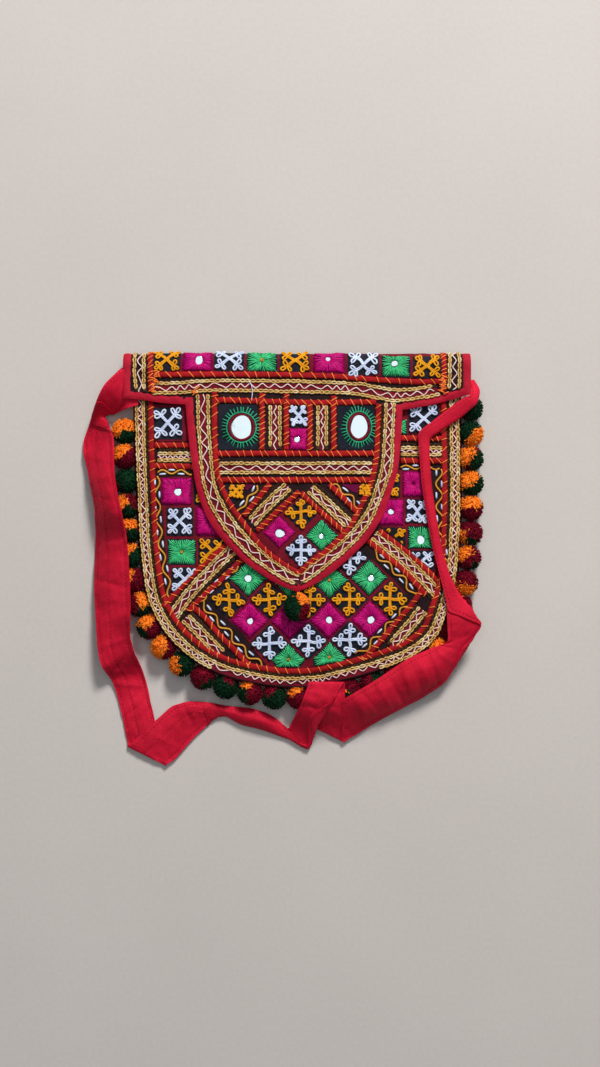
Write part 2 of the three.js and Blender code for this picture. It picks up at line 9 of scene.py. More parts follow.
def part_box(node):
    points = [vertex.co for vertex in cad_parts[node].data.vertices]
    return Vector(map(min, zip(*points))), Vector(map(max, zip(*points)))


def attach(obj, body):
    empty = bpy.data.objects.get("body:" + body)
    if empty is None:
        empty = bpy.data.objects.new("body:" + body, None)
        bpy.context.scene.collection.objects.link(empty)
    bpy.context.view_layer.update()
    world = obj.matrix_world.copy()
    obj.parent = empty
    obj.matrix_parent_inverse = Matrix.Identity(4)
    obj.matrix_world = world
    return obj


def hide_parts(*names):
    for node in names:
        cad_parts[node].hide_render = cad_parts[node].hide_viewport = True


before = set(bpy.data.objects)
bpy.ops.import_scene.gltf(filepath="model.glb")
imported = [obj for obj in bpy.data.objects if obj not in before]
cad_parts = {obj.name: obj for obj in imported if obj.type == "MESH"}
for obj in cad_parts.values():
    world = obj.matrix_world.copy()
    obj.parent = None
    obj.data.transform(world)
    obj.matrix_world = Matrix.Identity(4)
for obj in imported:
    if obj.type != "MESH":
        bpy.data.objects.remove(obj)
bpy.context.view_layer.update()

# Everything is worked out in millimetres, and pieces are made in metres
MM = 0.001

# Real size of one pixel of the photograph at the bag's face, and the pixel over the bag's centre line
PIXEL = 0.862
CENTRE_PX = 297
MIDDLE_PX = 520

# Camera, straight over the bag, with the photograph's framing
FACE_HEIGHT = 22
CAMERA_RISE = 1250
PICTURE_CENTRE = (2.6, -11.6)
PICTURE_HEIGHT = 1067 * PIXEL
SENSOR = 36

camera = bpy.data.objects.new("camera", bpy.data.cameras.new("camera"))
camera.data.sensor_fit = "VERTICAL"
camera.data.sensor_height = SENSOR
camera.data.lens = SENSOR * CAMERA_RISE / PICTURE_HEIGHT
camera.data.clip_start = 0.05
camera.location = (PICTURE_CENTRE[0] * MM, PICTURE_CENTRE[1] * MM, (FACE_HEIGHT + CAMERA_RISE) * MM)
bpy.context.scene.collection.objects.link(camera)
bpy.context.scene.camera = camera


# Sizes of the bag, as in its solids
FLAP_WIDTH = 300
FLAP_THICK = 2.5
FLAP_CLEARANCE = 2.6
TOP_REACH = 144.5
FOLD_DEPTH = 11
BAND_DEPTH = 47.5
TONGUE_DROP = 159
TONGUE_WIDTH = 187
BODY_WIDTH = 282
BODY_HEIGHT = 272
FOLD_START = TOP_REACH - FOLD_DEPTH
TONGUE_JOIN = TOP_REACH - BAND_DEPTH
TONGUE_TIP = TONGUE_JOIN - TONGUE_DROP
BODY_TOP = FOLD_START - 5.5
RIM_TOP = 16.1
CROWN = 4.6
FLAP_FOOT = 1.5
FOLD_REACH = FOLD_DEPTH - FLAP_THICK / 2
FOLD_LENGTH = math.pi * FOLD_REACH * 0.97
FOLD_END = FOLD_START + FOLD_LENGTH
POMPOM_TOP = 19.9
GAP = 0.3


def px(points):
    """Points of the photograph, in pixels, as millimetres on the bag."""
    points = np.atleast_2d(np.array(points, dtype=float))
    return np.column_stack([(points[:, 0] - CENTRE_PX) * PIXEL, (MIDDLE_PX - points[:, 1]) * PIXEL])


def unroll(points):
    """Millimetres as seen on the flap to its flat pattern, whose top runs round the fold."""
    points = np.array(points, dtype=float)
    over = points[:, 1] > FOLD_START
    reach = np.clip((points[over, 1] - FOLD_START) / (FOLD_REACH + FLAP_THICK / 2), 0, 1)
    points[over, 1] = FOLD_START + FOLD_LENGTH * np.arcsin(reach) / math.pi
    return points


def step_between(low, high, value):
    share = np.clip((value - low) / (high - low), 0, 1)
    return share * share * (3 - 2 * share)


def ripple(x, y, length, seed, waves=8):
    """Smooth irregular waves about one length long, from about -1 to 1."""
    rng = np.random.default_rng(seed)
    total = 0
    for _ in range(waves):
        turn, phase = rng.uniform(0, 2 * math.pi, 2)
        rate = 2 * math.pi / length * rng.uniform(0.7, 1.5)
        total = total + np.sin(rate * (x * math.cos(turn) + y * math.sin(turn)) + phase)
    return total / math.sqrt(waves)


# Soft hollows and swellings of the front: x, down, reach and depth, as in its solid
DENTS = [(-0.55, 0.5, 0.28, 0.9), (0.6, 0.62, 0.26, 0.8), (0.1, 0.86, 0.3, -0.6), (-0.15, 0.3, 0.34, -0.5)]


def front_top(x, y):
    half = BODY_WIDTH / 2
    across = np.clip(x / half, -1, 1)
    along = np.clip((y - (BODY_TOP - BODY_HEIGHT / 2)) / (BODY_HEIGHT / 2), -1, 1)
    inside = (1 - across**2) * (1 - along**2)
    height = RIM_TOP + CROWN * inside
    for dent, down, reach, depth in DENTS:
        away = np.hypot(across - dent, (BODY_TOP - y) / half - down * BODY_HEIGHT / half) / reach
        height = height - depth * inside * np.exp(-away * away)
    return height


def pucker(x, y, seed):
    """How stitched cloth heaves between its rows of stitches."""
    return 0.32 * ripple(x, y, 38, seed) + 0.17 * ripple(x, y, 13, seed + 1)


def on_front(x, y, above=0.0):
    return np.stack([x, y, front_top(x, y) + pucker(x, y, 11) + above], axis=-1)


def on_flap(x, v, above=0.0):
    """The flap's outer face, or a height above it, from its flat pattern."""
    above = above + FLAP_THICK / 2 + pucker(x, v, 23)
    lifted = 2 * step_between(135, 150, np.abs(x))
    middle = front_top(x, v) + FLAP_CLEARANCE + FLAP_THICK / 2 + lifted
    top = front_top(x, FOLD_START + 0 * v) + FLAP_CLEARANCE + FLAP_THICK / 2 + lifted
    turn = np.pi * (v - FOLD_START) / FOLD_LENGTH
    rise = (top - FLAP_FOOT) / 2
    flat = v <= FOLD_START
    y = np.where(flat, v, FOLD_START + (FOLD_REACH + above) * np.sin(np.maximum(turn, 0)))
    z = np.where(flat, middle + above, FLAP_FOOT + rise + (rise + above) * np.cos(np.maximum(turn, 0)))
    return np.stack([x + 0 * v, y, np.maximum(z, 0.1)], axis=-1)


def facing(place, x, y, above=0.0, reach=0.6):
    """Outward directions of a surface."""
    along = place(x + reach, y, above) - place(x - reach, y, above)
    up = place(x, y + reach, above) - place(x, y - reach, above)
    normal = np.cross(along, up)
    return normal / np.linalg.norm(normal, axis=-1, keepdims=True)


# Lines in the plane

def lengths(line):
    return np.concatenate([[0], np.cumsum(np.linalg.norm(np.diff(line, axis=0), axis=1))])


def resample(line, step):
    line = np.array(line, dtype=float)
    run = lengths(line)
    count = max(2, int(round(run[-1] / step)) + 1)
    at = np.linspace(0, run[-1], count)
    return np.column_stack([np.interp(at, run, line[:, k]) for k in range(line.shape[1])])


def smooth(line, step=1.5):
    """A curve through the points, in even steps."""
    line = np.array(line, dtype=float)
    if len(line) < 3:
        return resample(line, step)
    before = np.vstack([2 * line[0] - line[1], line, 2 * line[-1] - line[-2]])
    pieces = []
    for k in range(len(line) - 1):
        a, b, c, d = before[k : k + 4]
        t = np.linspace(0, 1, 12, endpoint=False)[:, None]
        pieces.append(0.5 * (2 * b + (c - a) * t + (2 * a - 5 * b + 4 * c - d) * t**2 + (3 * b - a - 3 * c + d) * t**3))
    return resample(np.vstack(pieces + [line[-1:]]), step)


def leftward(line):
    along = np.gradient(line, axis=0)
    along /= np.maximum(np.linalg.norm(along, axis=1, keepdims=True), 1e-9)
    return np.column_stack([-along[:, 1], along[:, 0]])


def beside(line, distance):
    return line + leftward(line) * np.reshape(distance, (-1, 1) if np.ndim(distance) else ())


def offset_line(line, distance):
    """A line at a distance to the left, mitred at its corners."""
    line = np.array(line, dtype=float)
    steps = np.diff(line, axis=0)
    steps /= np.linalg.norm(steps, axis=1, keepdims=True)
    incoming = np.vstack([steps[:1], steps])
    outgoing = np.vstack([steps, steps[-1:]])
    left = np.column_stack([-incoming[:, 1] - outgoing[:, 1], incoming[:, 0] + outgoing[:, 0]])
    return line + left * distance / (1 + np.sum(incoming * outgoing, axis=1))[:, None]


def inside(points, outline):
    points = np.atleast_2d(points)
    x, y = points[:, 0], points[:, 1]
    hit = np.zeros(len(points), dtype=bool)
    for (ax, ay), (bx, by) in zip(outline, np.roll(outline, -1, axis=0)):
        if ay == by:
            continue
        crosses = (ay > y) != (by > y)
        hit ^= crosses & (x < (bx - ax) * (y - ay) / (by - ay) + ax)
    return hit


def runs_inside(line, outline):
    """The stretches of a line that lie in an outline, or the whole line where there is none."""
    if outline is None:
        return [line]
    kept = inside(line[:, :2], outline)
    stretches, start = [], None
    for k, ok in enumerate(list(kept) + [False]):
        if ok and start is None:
            start = k
        if not ok and start is not None:
            if k - start > 1:
                stretches.append(line[start:k])
            start = None
    return stretches


# Pieces

class Heap:
    """Gathers the points and faces of one piece."""

    def __init__(self):
        self.points = []
        self.faces = []
        self.kinds = []
        self.count = 0

    def add(self, points, faces, kind=0):
        self.points.append(np.asarray(points, dtype=float).reshape(-1, 3))
        self.faces += [[k + self.count for k in face] for face in faces]
        self.kinds += [kind] * len(faces)
        self.count += len(self.points[-1])

    def tubes(self, paths, normals, radius, kind=0, sides=5, flat=1.0):
        """Threads of equally many points each. flat is a thread's height as a share of its width."""
        paths = np.asarray(paths, dtype=float)
        threads, count = paths.shape[:2]
        along = np.gradient(paths, axis=1)
        along /= np.maximum(np.linalg.norm(along, axis=2, keepdims=True), 1e-9)
        across = np.cross(along, normals)
        across /= np.maximum(np.linalg.norm(across, axis=2, keepdims=True), 1e-9)
        up = np.cross(across, along)
        radius = np.broadcast_to(radius, (threads, count))[..., None]
        turn = np.linspace(0, 2 * math.pi, sides, endpoint=False) + math.pi / 2
        rings = [paths + across * radius * math.cos(a) + up * radius * flat * math.sin(a) for a in turn]
        points = np.stack(rings, axis=2).reshape(-1, 3)
        thread = np.arange(threads)[:, None, None] * count * sides
        first = thread + np.arange(count - 1)[None, :, None] * sides
        side = np.arange(sides)[None, None, :]
        nxt = (side + 1) % sides
        quads = np.stack([first + side, first + nxt, first + sides + nxt, first + sides + side], axis=-1)
        faces = quads.reshape(-1, 4).tolist()
        faces += (thread[:, 0] + np.arange(sides)[::-1]).tolist()
        faces += (thread[:, 0] + (count - 1) * sides + np.arange(sides)).tolist()
        self.add(points, faces, kind)

    def tube(self, path, normals, radius, kind=0, sides=5, flat=1.0):
        self.tubes(np.asarray(path)[None], np.asarray(normals)[None], radius, kind, sides, flat)

    def make(self, name, materials, slot, replaced=(), smooth_angle=None):
        mesh = bpy.data.meshes.new(name)
        mesh.from_pydata((np.vstack(self.points) * MM).tolist(), [], self.faces)
        mesh.polygons.foreach_set("use_smooth", [True] * len(mesh.polygons))
        mesh.polygons.foreach_set("material_index", self.kinds)
        for material in materials:
            mesh.materials.append(material)
        mesh.validate()
        mesh.update()
        if smooth_angle:
            mesh.set_sharp_from_angle(angle=math.radians(smooth_angle))
        piece = bpy.data.objects.new(name, mesh)
        bpy.context.scene.collection.objects.link(piece)
        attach(piece, "root")
        if replaced:
            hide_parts(*replaced)
        return piece


def cut_cloth(outline, step, grain=0.0):
    """Triangles that fill an outline, with points about one step apart."""
    edge = resample(np.vstack([outline, outline[:1]]), step)[:-1]
    low, high = edge.min(axis=0), edge.max(axis=0)
    rows = np.arange(low[1] + step / 2, high[1], step * 0.9)
    grid = [(x + (step / 2 if k % 2 else 0), y) for k, y in enumerate(rows) for x in np.arange(low[0], high[0], step)]
    grid = np.array(grid).reshape(-1, 2)
    if len(grid):
        grid = grid[inside(grid, edge)]
        near = np.min(np.linalg.norm(grid[:, None, :] - edge[None, :, :], axis=2), axis=1) if len(grid) < 4000 else None
        if near is None:
            near = np.array([np.min(np.linalg.norm(edge - point, axis=1)) for point in grid])
        grid = grid[near > step * 0.45]
    points = np.vstack([edge, grid]) if len(grid) else edge
    count = len(edge)
    rim = [(k, (k + 1) % count) for k in range(count)]
    found = delaunay_2d_cdt([Vector(p) for p in points], rim, [], 1, 1e-5)
    flat = np.array([tuple(p) for p in found[0]])
    return flat, [list(face) for face in found[2]]


def slab(heap, outline, place, low, high, step=3.0, kind=0):
    """Cloth of an outline between two heights over a surface."""
    flat, faces = cut_cloth(np.array(outline, dtype=float), step)
    x, y = flat[:, 0], flat[:, 1]
    count = len(flat)
    top, bottom = place(x, y, high), place(x, y, low)
    turned = []
    open_edges = {}
    for face in faces:
        a, b, c = (flat[k] for k in face[:3])
        if (b[0] - a[0]) * (c[1] - a[1]) - (b[1] - a[1]) * (c[0] - a[0]) < 0:
            face = face[::-1]
        turned.append(face)
        for start, end in zip(face, face[1:] + face[:1]):
            if (end, start) in open_edges:
                del open_edges[(end, start)]
            else:
                open_edges[(start, end)] = True
    all_faces = turned + [[k + count for k in face[::-1]] for face in turned]
    all_faces += [[start, start + count, end + count, end] for start, end in open_edges]
    heap.add(np.vstack([top, bottom]), all_faces, kind)


def ribbon(heap, middle, thickness, kind=0, close=False):
    """Cloth of a thickness about a grid of points on its middle surface."""
    middle = np.asarray(middle, dtype=float)
    rows, columns = middle.shape[:2]
    normal = np.cross(np.gradient(middle, axis=0), np.gradient(middle, axis=1))
    normal /= np.maximum(np.linalg.norm(normal, axis=2, keepdims=True), 1e-9)
    half = np.broadcast_to(np.asarray(thickness, dtype=float) / 2, (rows, columns))[..., None]
    points = np.vstack([(middle + normal * half).reshape(-1, 3), (middle - normal * half).reshape(-1, 3)])
    count = rows * columns
    index = np.arange(count).reshape(rows, columns)
    if close:
        index = np.vstack([index, index[:1]])
    quads = np.stack([index[:-1, :-1], index[1:, :-1], index[1:, 1:], index[:-1, 1:]], axis=-1).reshape(-1, 4)
    faces = quads.tolist() + (quads[:, ::-1] + count).tolist()
    rim = [index[:, 0][::-1], index[:, -1]]
    if not close:
        rim += [index[0, :], index[-1, :][::-1]]
    for line in rim:
        for a, b in zip(line[:-1], line[1:]):
            faces.append([int(b), int(a), int(a) + count, int(b) + count][::-1])
    heap.add(points, faces, kind)


# Materials

def tone(red, green, blue):
    """A colour as seen, from 0 to 255, as the renderer's linear one."""
    seen = np.array([red, green, blue]) / 255
    linear = np.where(seen <= 0.04045, seen / 12.92, ((seen + 0.055) / 1.055) ** 2.4)
    return (*linear.tolist(), 1.0)


def material(name, light, dark, roughness=0.85, sheen=0.25, mottle=90, weave=0.0, bump=0.3, fleck=900, metallic=0.0):
    """Cloth or thread: two tones in soft patches and fine flecks, with a woven or fibrous bump."""
    made = bpy.data.materials.new(name)
    made.use_nodes = True
    nodes, links = made.node_tree.nodes, made.node_tree.links
    shader = nodes["Principled BSDF"]
    shader.inputs["Roughness"].default_value = roughness
    shader.inputs["Metallic"].default_value = metallic
    shader.inputs["Sheen Weight"].default_value = sheen
    shader.inputs["Sheen Roughness"].default_value = 0.4
    shader.inputs["Sheen Tint"].default_value = tone(*light)
    shader.inputs["Specular IOR Level"].default_value = 0.16
    place = nodes.new("ShaderNodeTexCoord")
    patches = nodes.new("ShaderNodeTexNoise")
    patches.inputs["Scale"].default_value = mottle
    patches.inputs["Detail"].default_value = 4
    links.new(place.outputs["Object"], patches.inputs["Vector"])
    flecks = nodes.new("ShaderNodeTexNoise")
    flecks.inputs["Scale"].default_value = fleck
    flecks.inputs["Detail"].default_value = 2
    links.new(place.outputs["Object"], flecks.inputs["Vector"])
    both = nodes.new("ShaderNodeMath")
    both.operation = "ADD"
    links.new(patches.outputs["Fac"], both.inputs[0])
    links.new(flecks.outputs["Fac"], both.inputs[1])
    spread = nodes.new("ShaderNodeMapRange")
    spread.inputs["From Min"].default_value = 0.7
    spread.inputs["From Max"].default_value = 1.3
    links.new(both.outputs[0], spread.inputs["Value"])
    blend = nodes.new("ShaderNodeMix")
    blend.data_type = "RGBA"
    blend.inputs["A"].default_value = tone(*dark)
    blend.inputs["B"].default_value = tone(*light)
    links.new(spread.outputs["Result"], blend.inputs["Factor"])
    links.new(blend.outputs["Result"], shader.inputs["Base Color"])
    relief = nodes.new("ShaderNodeBump")
    relief.inputs["Strength"].default_value = bump
    relief.inputs["Distance"].default_value = 0.0004
    if weave:
        threads = []
        for direction in ("X", "Y"):
            wave = nodes.new("ShaderNodeTexWave")
            wave.bands_direction = direction
            wave.inputs["Scale"].default_value = 2 * math.pi / (20 * weave * MM)
            wave.inputs["Distortion"].default_value = 1.2
            wave.inputs["Detail"].default_value = 1
            links.new(place.outputs["Object"], wave.inputs["Vector"])
            threads.append(wave)
        cross = nodes.new("ShaderNodeMath")
        cross.operation = "ADD"
        links.new(threads[0].outputs["Fac"], cross.inputs[0])
        links.new(threads[1].outputs["Fac"], cross.inputs[1])
        links.new(cross.outputs[0], relief.inputs["Height"])
    else:
        links.new(flecks.outputs["Fac"], relief.inputs["Height"])
    links.new(relief.outputs["Normal"], shader.inputs["Normal"])
    return made


GROUND = material("brown_black_cloth", (48, 26, 30), (22, 10, 14), 0.8, 0.1, weave=0.55)
BLACK = material("black_cloth", (34, 38, 52), (16, 18, 28), 0.8, 0.1, weave=0.55)
MAROON = material("maroon_cloth", (132, 20, 40), (88, 8, 26), 0.85, 0.15, weave=0.55)
CRIMSON = material("crimson_cloth", (222, 20, 58), (182, 8, 38), 0.62, 0.25, mottle=40, weave=0.5, bump=0.35)
EDGING = material("edging_cloth", (192, 18, 50), (162, 10, 38), 0.6, 0.2, mottle=60, weave=0.5, bump=0.3)
PIPING = material("piping_cloth", (184, 24, 30), (132, 10, 20), 0.75, 0.15, weave=0.5)
LINING = material("lining_cloth", (122, 20, 38), (98, 14, 30), 0.85, 0.15, mottle=30, weave=0.6)
GOLD = material("gold_thread", (238, 204, 130), (168, 122, 62), 0.5, 0.2, mottle=260, fleck=1400, bump=0.5)
CREAM = material("cream_thread", (244, 226, 176), (196, 158, 98), 0.5, 0.2, mottle=260, fleck=1400, bump=0.5)
# Dark brown thread for the dark chain stitches, and also painted shade in the flat strip under each gold braid
DARK_THREAD_AND_SHADE = material("dark_thread_and_painted_shade", (88, 58, 38), (20, 12, 14), 0.6, 0.1, mottle=300, fleck=1400, bump=0.5)
WHITE = material("white_thread", (228, 238, 255), (176, 190, 224), 0.6, 0.2, bump=0.4)
PALE = material("pale_thread", (255, 236, 232), (222, 176, 170), 0.6, 0.2, mottle=200, bump=0.4)
YELLOW = material("yellow_thread", (244, 172, 22), (200, 126, 6), 0.55, 0.2, mottle=200, bump=0.5)
TAN = material("tan_thread", (232, 168, 62), (176, 112, 30), 0.55, 0.2, bump=0.5)
ORANGE = material("orange_thread", (255, 152, 72), (230, 100, 36), 0.55, 0.2, bump=0.4)
HEMMING = material("hem_thread", (150, 10, 38), (108, 6, 28), 0.6, 0.1)
MAGENTA = material("magenta_thread", (216, 6, 128), (150, 0, 92), 0.5, 0.25, mottle=300, fleck=1200, bump=0.6)
DEEP = material("deep_magenta_cloth", (120, 0, 66), (84, 0, 48), 0.8, 0.1, weave=0.55)
GREEN = material("green_thread", (84, 214, 144), (16, 150, 88), 0.5, 0.25, mottle=300, fleck=1200, bump=0.6)
SPIKE = material("teal_green_thread", (62, 184, 140), (10, 126, 88), 0.5, 0.25, bump=0.5)
PILE_GREEN = material("green_pile", (10, 58, 30), (2, 28, 14), 0.95, 0.15, mottle=200)
PILE_ORANGE = material("orange_pile", (255, 150, 44), (238, 108, 20), 0.9, 0.2, mottle=200)
PILE_MAROON = material("maroon_pile", (128, 4, 34), (82, 0, 22), 0.95, 0.15, mottle=200)


def glass_material():
    """Thin silvered glass, slightly clouded in places."""
    made = bpy.data.materials.new("mirror_glass")
    made.use_nodes = True
    nodes, links = made.node_tree.nodes, made.node_tree.links
    shader = nodes["Principled BSDF"]
    shader.inputs["Base Color"].default_value = tone(222, 236, 240)
    shader.inputs["Metallic"].default_value = 1.0
    place = nodes.new("ShaderNodeTexCoord")
    clouds = nodes.new("ShaderNodeTexNoise")
    clouds.inputs["Scale"].default_value = 240
    clouds.inputs["Detail"].default_value = 3
    links.new(place.outputs["Object"], clouds.inputs["Vector"])
    spread = nodes.new("ShaderNodeMapRange")
    spread.inputs["From Min"].default_value = 0.35
    spread.inputs["From Max"].default_value = 0.75
    spread.inputs["To Min"].default_value = 0.05
    spread.inputs["To Max"].default_value = 0.22
    links.new(clouds.outputs["Fac"], spread.inputs["Value"])
    links.new(spread.outputs["Result"], shader.inputs["Roughness"])
    return made


GLASS = glass_material()


# Outlines, as in the solids
BODY_OUTLINE = [
    (0.0, 0.995, 0.997), (0.12, 0.996, 0.998), (0.27, 0.99, 1.003), (0.41, 0.978, 1.003), (0.52, 0.968, 0.998),
    (0.62, 0.95, 0.985), (0.71, 0.922, 0.955), (0.78, 0.868, 0.911), (0.835, 0.8, 0.868), (0.88, 0.72, 0.785),
    (0.92, 0.62, 0.655), (0.955, 0.495, 0.46), (0.98, 0.345, 0.28), (1.0, 0.12, 0.1),
]
BAND_LEFT = [(1, 0.167), (0.89, 0.14), (0.77, 0.085), (0.641, 0.055)]
BAND_RIGHT = [(1, 0.243), (0.89, 0.146), (0.77, 0.049), (0.606, -0.046)]
TONGUE_OUTLINE = [
    (0.1, 1.01, 0.966), (0.22, 0.988, 0.951), (0.345, 0.955, 0.926), (0.465, 0.915, 0.866), (0.56, 0.856, 0.811),
    (0.64, 0.785, 0.74), (0.71, 0.697, 0.66), (0.78, 0.583, 0.549), (0.843, 0.47, 0.431), (0.9, 0.335, 0.31),
    (0.955, 0.185, 0.17),
]
body_left = [(-left * BODY_WIDTH / 2, BODY_TOP - down * BODY_HEIGHT) for down, left, _ in BODY_OUTLINE]
body_right = [(right * BODY_WIDTH / 2, BODY_TOP - down * BODY_HEIGHT) for down, _, right in BODY_OUTLINE]
body_edge = smooth(body_left + body_right[::-1], 2.0)

half_flap, half_tongue = FLAP_WIDTH / 2, TONGUE_WIDTH / 2
band_left = [(-across * half_flap, TONGUE_JOIN + rise * BAND_DEPTH) for across, rise in BAND_LEFT]
band_right = [(across * half_flap, TONGUE_JOIN + rise * BAND_DEPTH) for across, rise in BAND_RIGHT]
tongue_left = [(-left * half_tongue, TONGUE_JOIN - down * TONGUE_DROP) for down, left, _ in TONGUE_OUTLINE]
tongue_right = [(right * half_tongue, TONGUE_JOIN - down * TONGUE_DROP) for down, _, right in TONGUE_OUTLINE]
left_side = smooth([band_left[-1]] + tongue_left + [(0, TONGUE_TIP)], 2.0)
right_side = smooth([(0, TONGUE_TIP)] + tongue_right[::-1] + [band_right[-1]], 2.0)
flap_edge = np.vstack([
    resample([(-half_flap, FOLD_END), band_left[0]], 1.5),
    smooth(band_left, 2.0)[1:],
    left_side[1:],
    right_side[1:],
    smooth(band_right[::-1], 2.0)[1:],
    resample([band_right[0], (half_flap, FOLD_END)], 1.5)[1:],
])

# Front: one thick embroidered cloth
cloth = Heap()
slab(cloth, body_edge, on_front, -FLAP_THICK, 0.0, step=3.5)
cloth.make("front_cloth", [GROUND], "embroidered_cloth", ["front_panel"], smooth_angle=50)

# Flap, whose raw edge runs under its edging
EDGING_WIDTH = 7.8
flap_cut = offset_line(flap_edge, 3.5)
cloth = Heap()
slab(cloth, flap_cut, on_flap, -FLAP_THICK + 0.2, 0.0, step=3.5)
cloth.make("flap_cloth", [GROUND], "embroidered_cloth", ["flap"], smooth_angle=50)

# Edging: a soft folded strip round the flap, mitred at its corners
edging_inner = offset_line(flap_edge, EDGING_WIDTH)
heap = Heap()
share = np.linspace(0, 1, 9)
line = flap_edge[:, None, :] + (edging_inner - flap_edge)[:, None, :] * share[None, :, None]
across, up = line[..., 0], line[..., 1]
swell = np.sin(np.pi * np.clip(share * 0.92 + 0.04, 0, 1))[None, :]
creases = 0.16 * ripple(across, up, 9, 41)
top = on_flap(across, up, -0.75 + 1.05 * swell**0.6 + creases * swell)
under = on_flap(across, up, -FLAP_THICK - 0.1 + 0.5 * (1 - swell))
count, columns = across.shape
index = np.arange(count * columns).reshape(count, columns)
quads = np.stack([index[:-1, :-1], index[:-1, 1:], index[1:, 1:], index[1:, :-1]], axis=-1).reshape(-1, 4)
faces = quads[:, ::-1].tolist() + (quads + count * columns).tolist()
shift = count * columns
for rim in (index[:, 0], index[:, -1][::-1], index[0, ::-1], index[-1, :]):
    faces += [[int(a), int(b), int(b) + shift, int(a) + shift][::-1] for a, b in zip(rim[:-1], rim[1:])]
heap.add(np.vstack([top.reshape(-1, 3), under.reshape(-1, 3)]), faces)
heap.make("flap_edging", [EDGING], "binding_cloth", ["flap_binding"], smooth_angle=60)

# Gusset: the plain band that joins front and back
heap = Heap()
drop = np.linspace(0, 1, 7)
out = np.interp(drop, [0, 0.35, 1], [-0.85, 0.6, 1.8])
height = np.interp(drop, [0, 0.35, 1], [13.05, 10.1, 2.5])
run = lengths(body_edge)[:, None]
gather = 0.35 * np.sin(run / 4.2 + 2 * ripple(run, 0 * run, 40, 51)) * np.sin(np.pi * drop)[None, :]
rows = [offset_line(body_edge, -(amount)) for amount in out]
middle = np.stack([np.column_stack([row, np.full(len(row), z)]) for row, z in zip(rows, height)], axis=1)
sideways = leftward(body_edge)
middle[:, :, :2] -= sideways[:, None, :] * gather[:, :, None]
ribbon(heap, middle, 1.5)
heap.make("gusset_cloth", [MAROON], "gusset_cloth", ["gusset"], smooth_angle=60)

# Back: plain cloth, with a row of stitches inside its seam
back_edge = offset_line(body_edge, -3.0)
back_edge = np.vstack([[back_edge[0][0], FOLD_START - 0.4], back_edge[1:-1], [back_edge[-1][0], FOLD_START - 0.4]])


def on_back(x, y, above=0.0):
    """Heights in the back cloth, whose outer face is on the floor but for its eased rim."""
    return np.stack([x, y, above + 0.5 + 0.1 * ripple(x, y, 30, 61)], axis=-1)


heap = Heap()
slab(heap, back_edge, on_back, 0.0, 1.8, step=5)
seam = offset_line(back_edge[1:-1], 5)
for start in np.arange(0, lengths(seam)[-1] - 4, 4.6):
    at = np.linspace(start, start + 3.2, 4)
    run = lengths(seam)
    x, y = np.interp(at, run, seam[:, 0]), np.interp(at, run, seam[:, 1])
    lift = np.array([0.15, -0.02, -0.02, 0.15])
    heap.tube(on_back(x, y, lift), np.tile([0, 0, -1.0], (4, 1)), 0.28, kind=1, sides=5)
heap.make("back_cloth", [LINING, EDGING], "lining_cloth", ["back_panel"], smooth_angle=50)

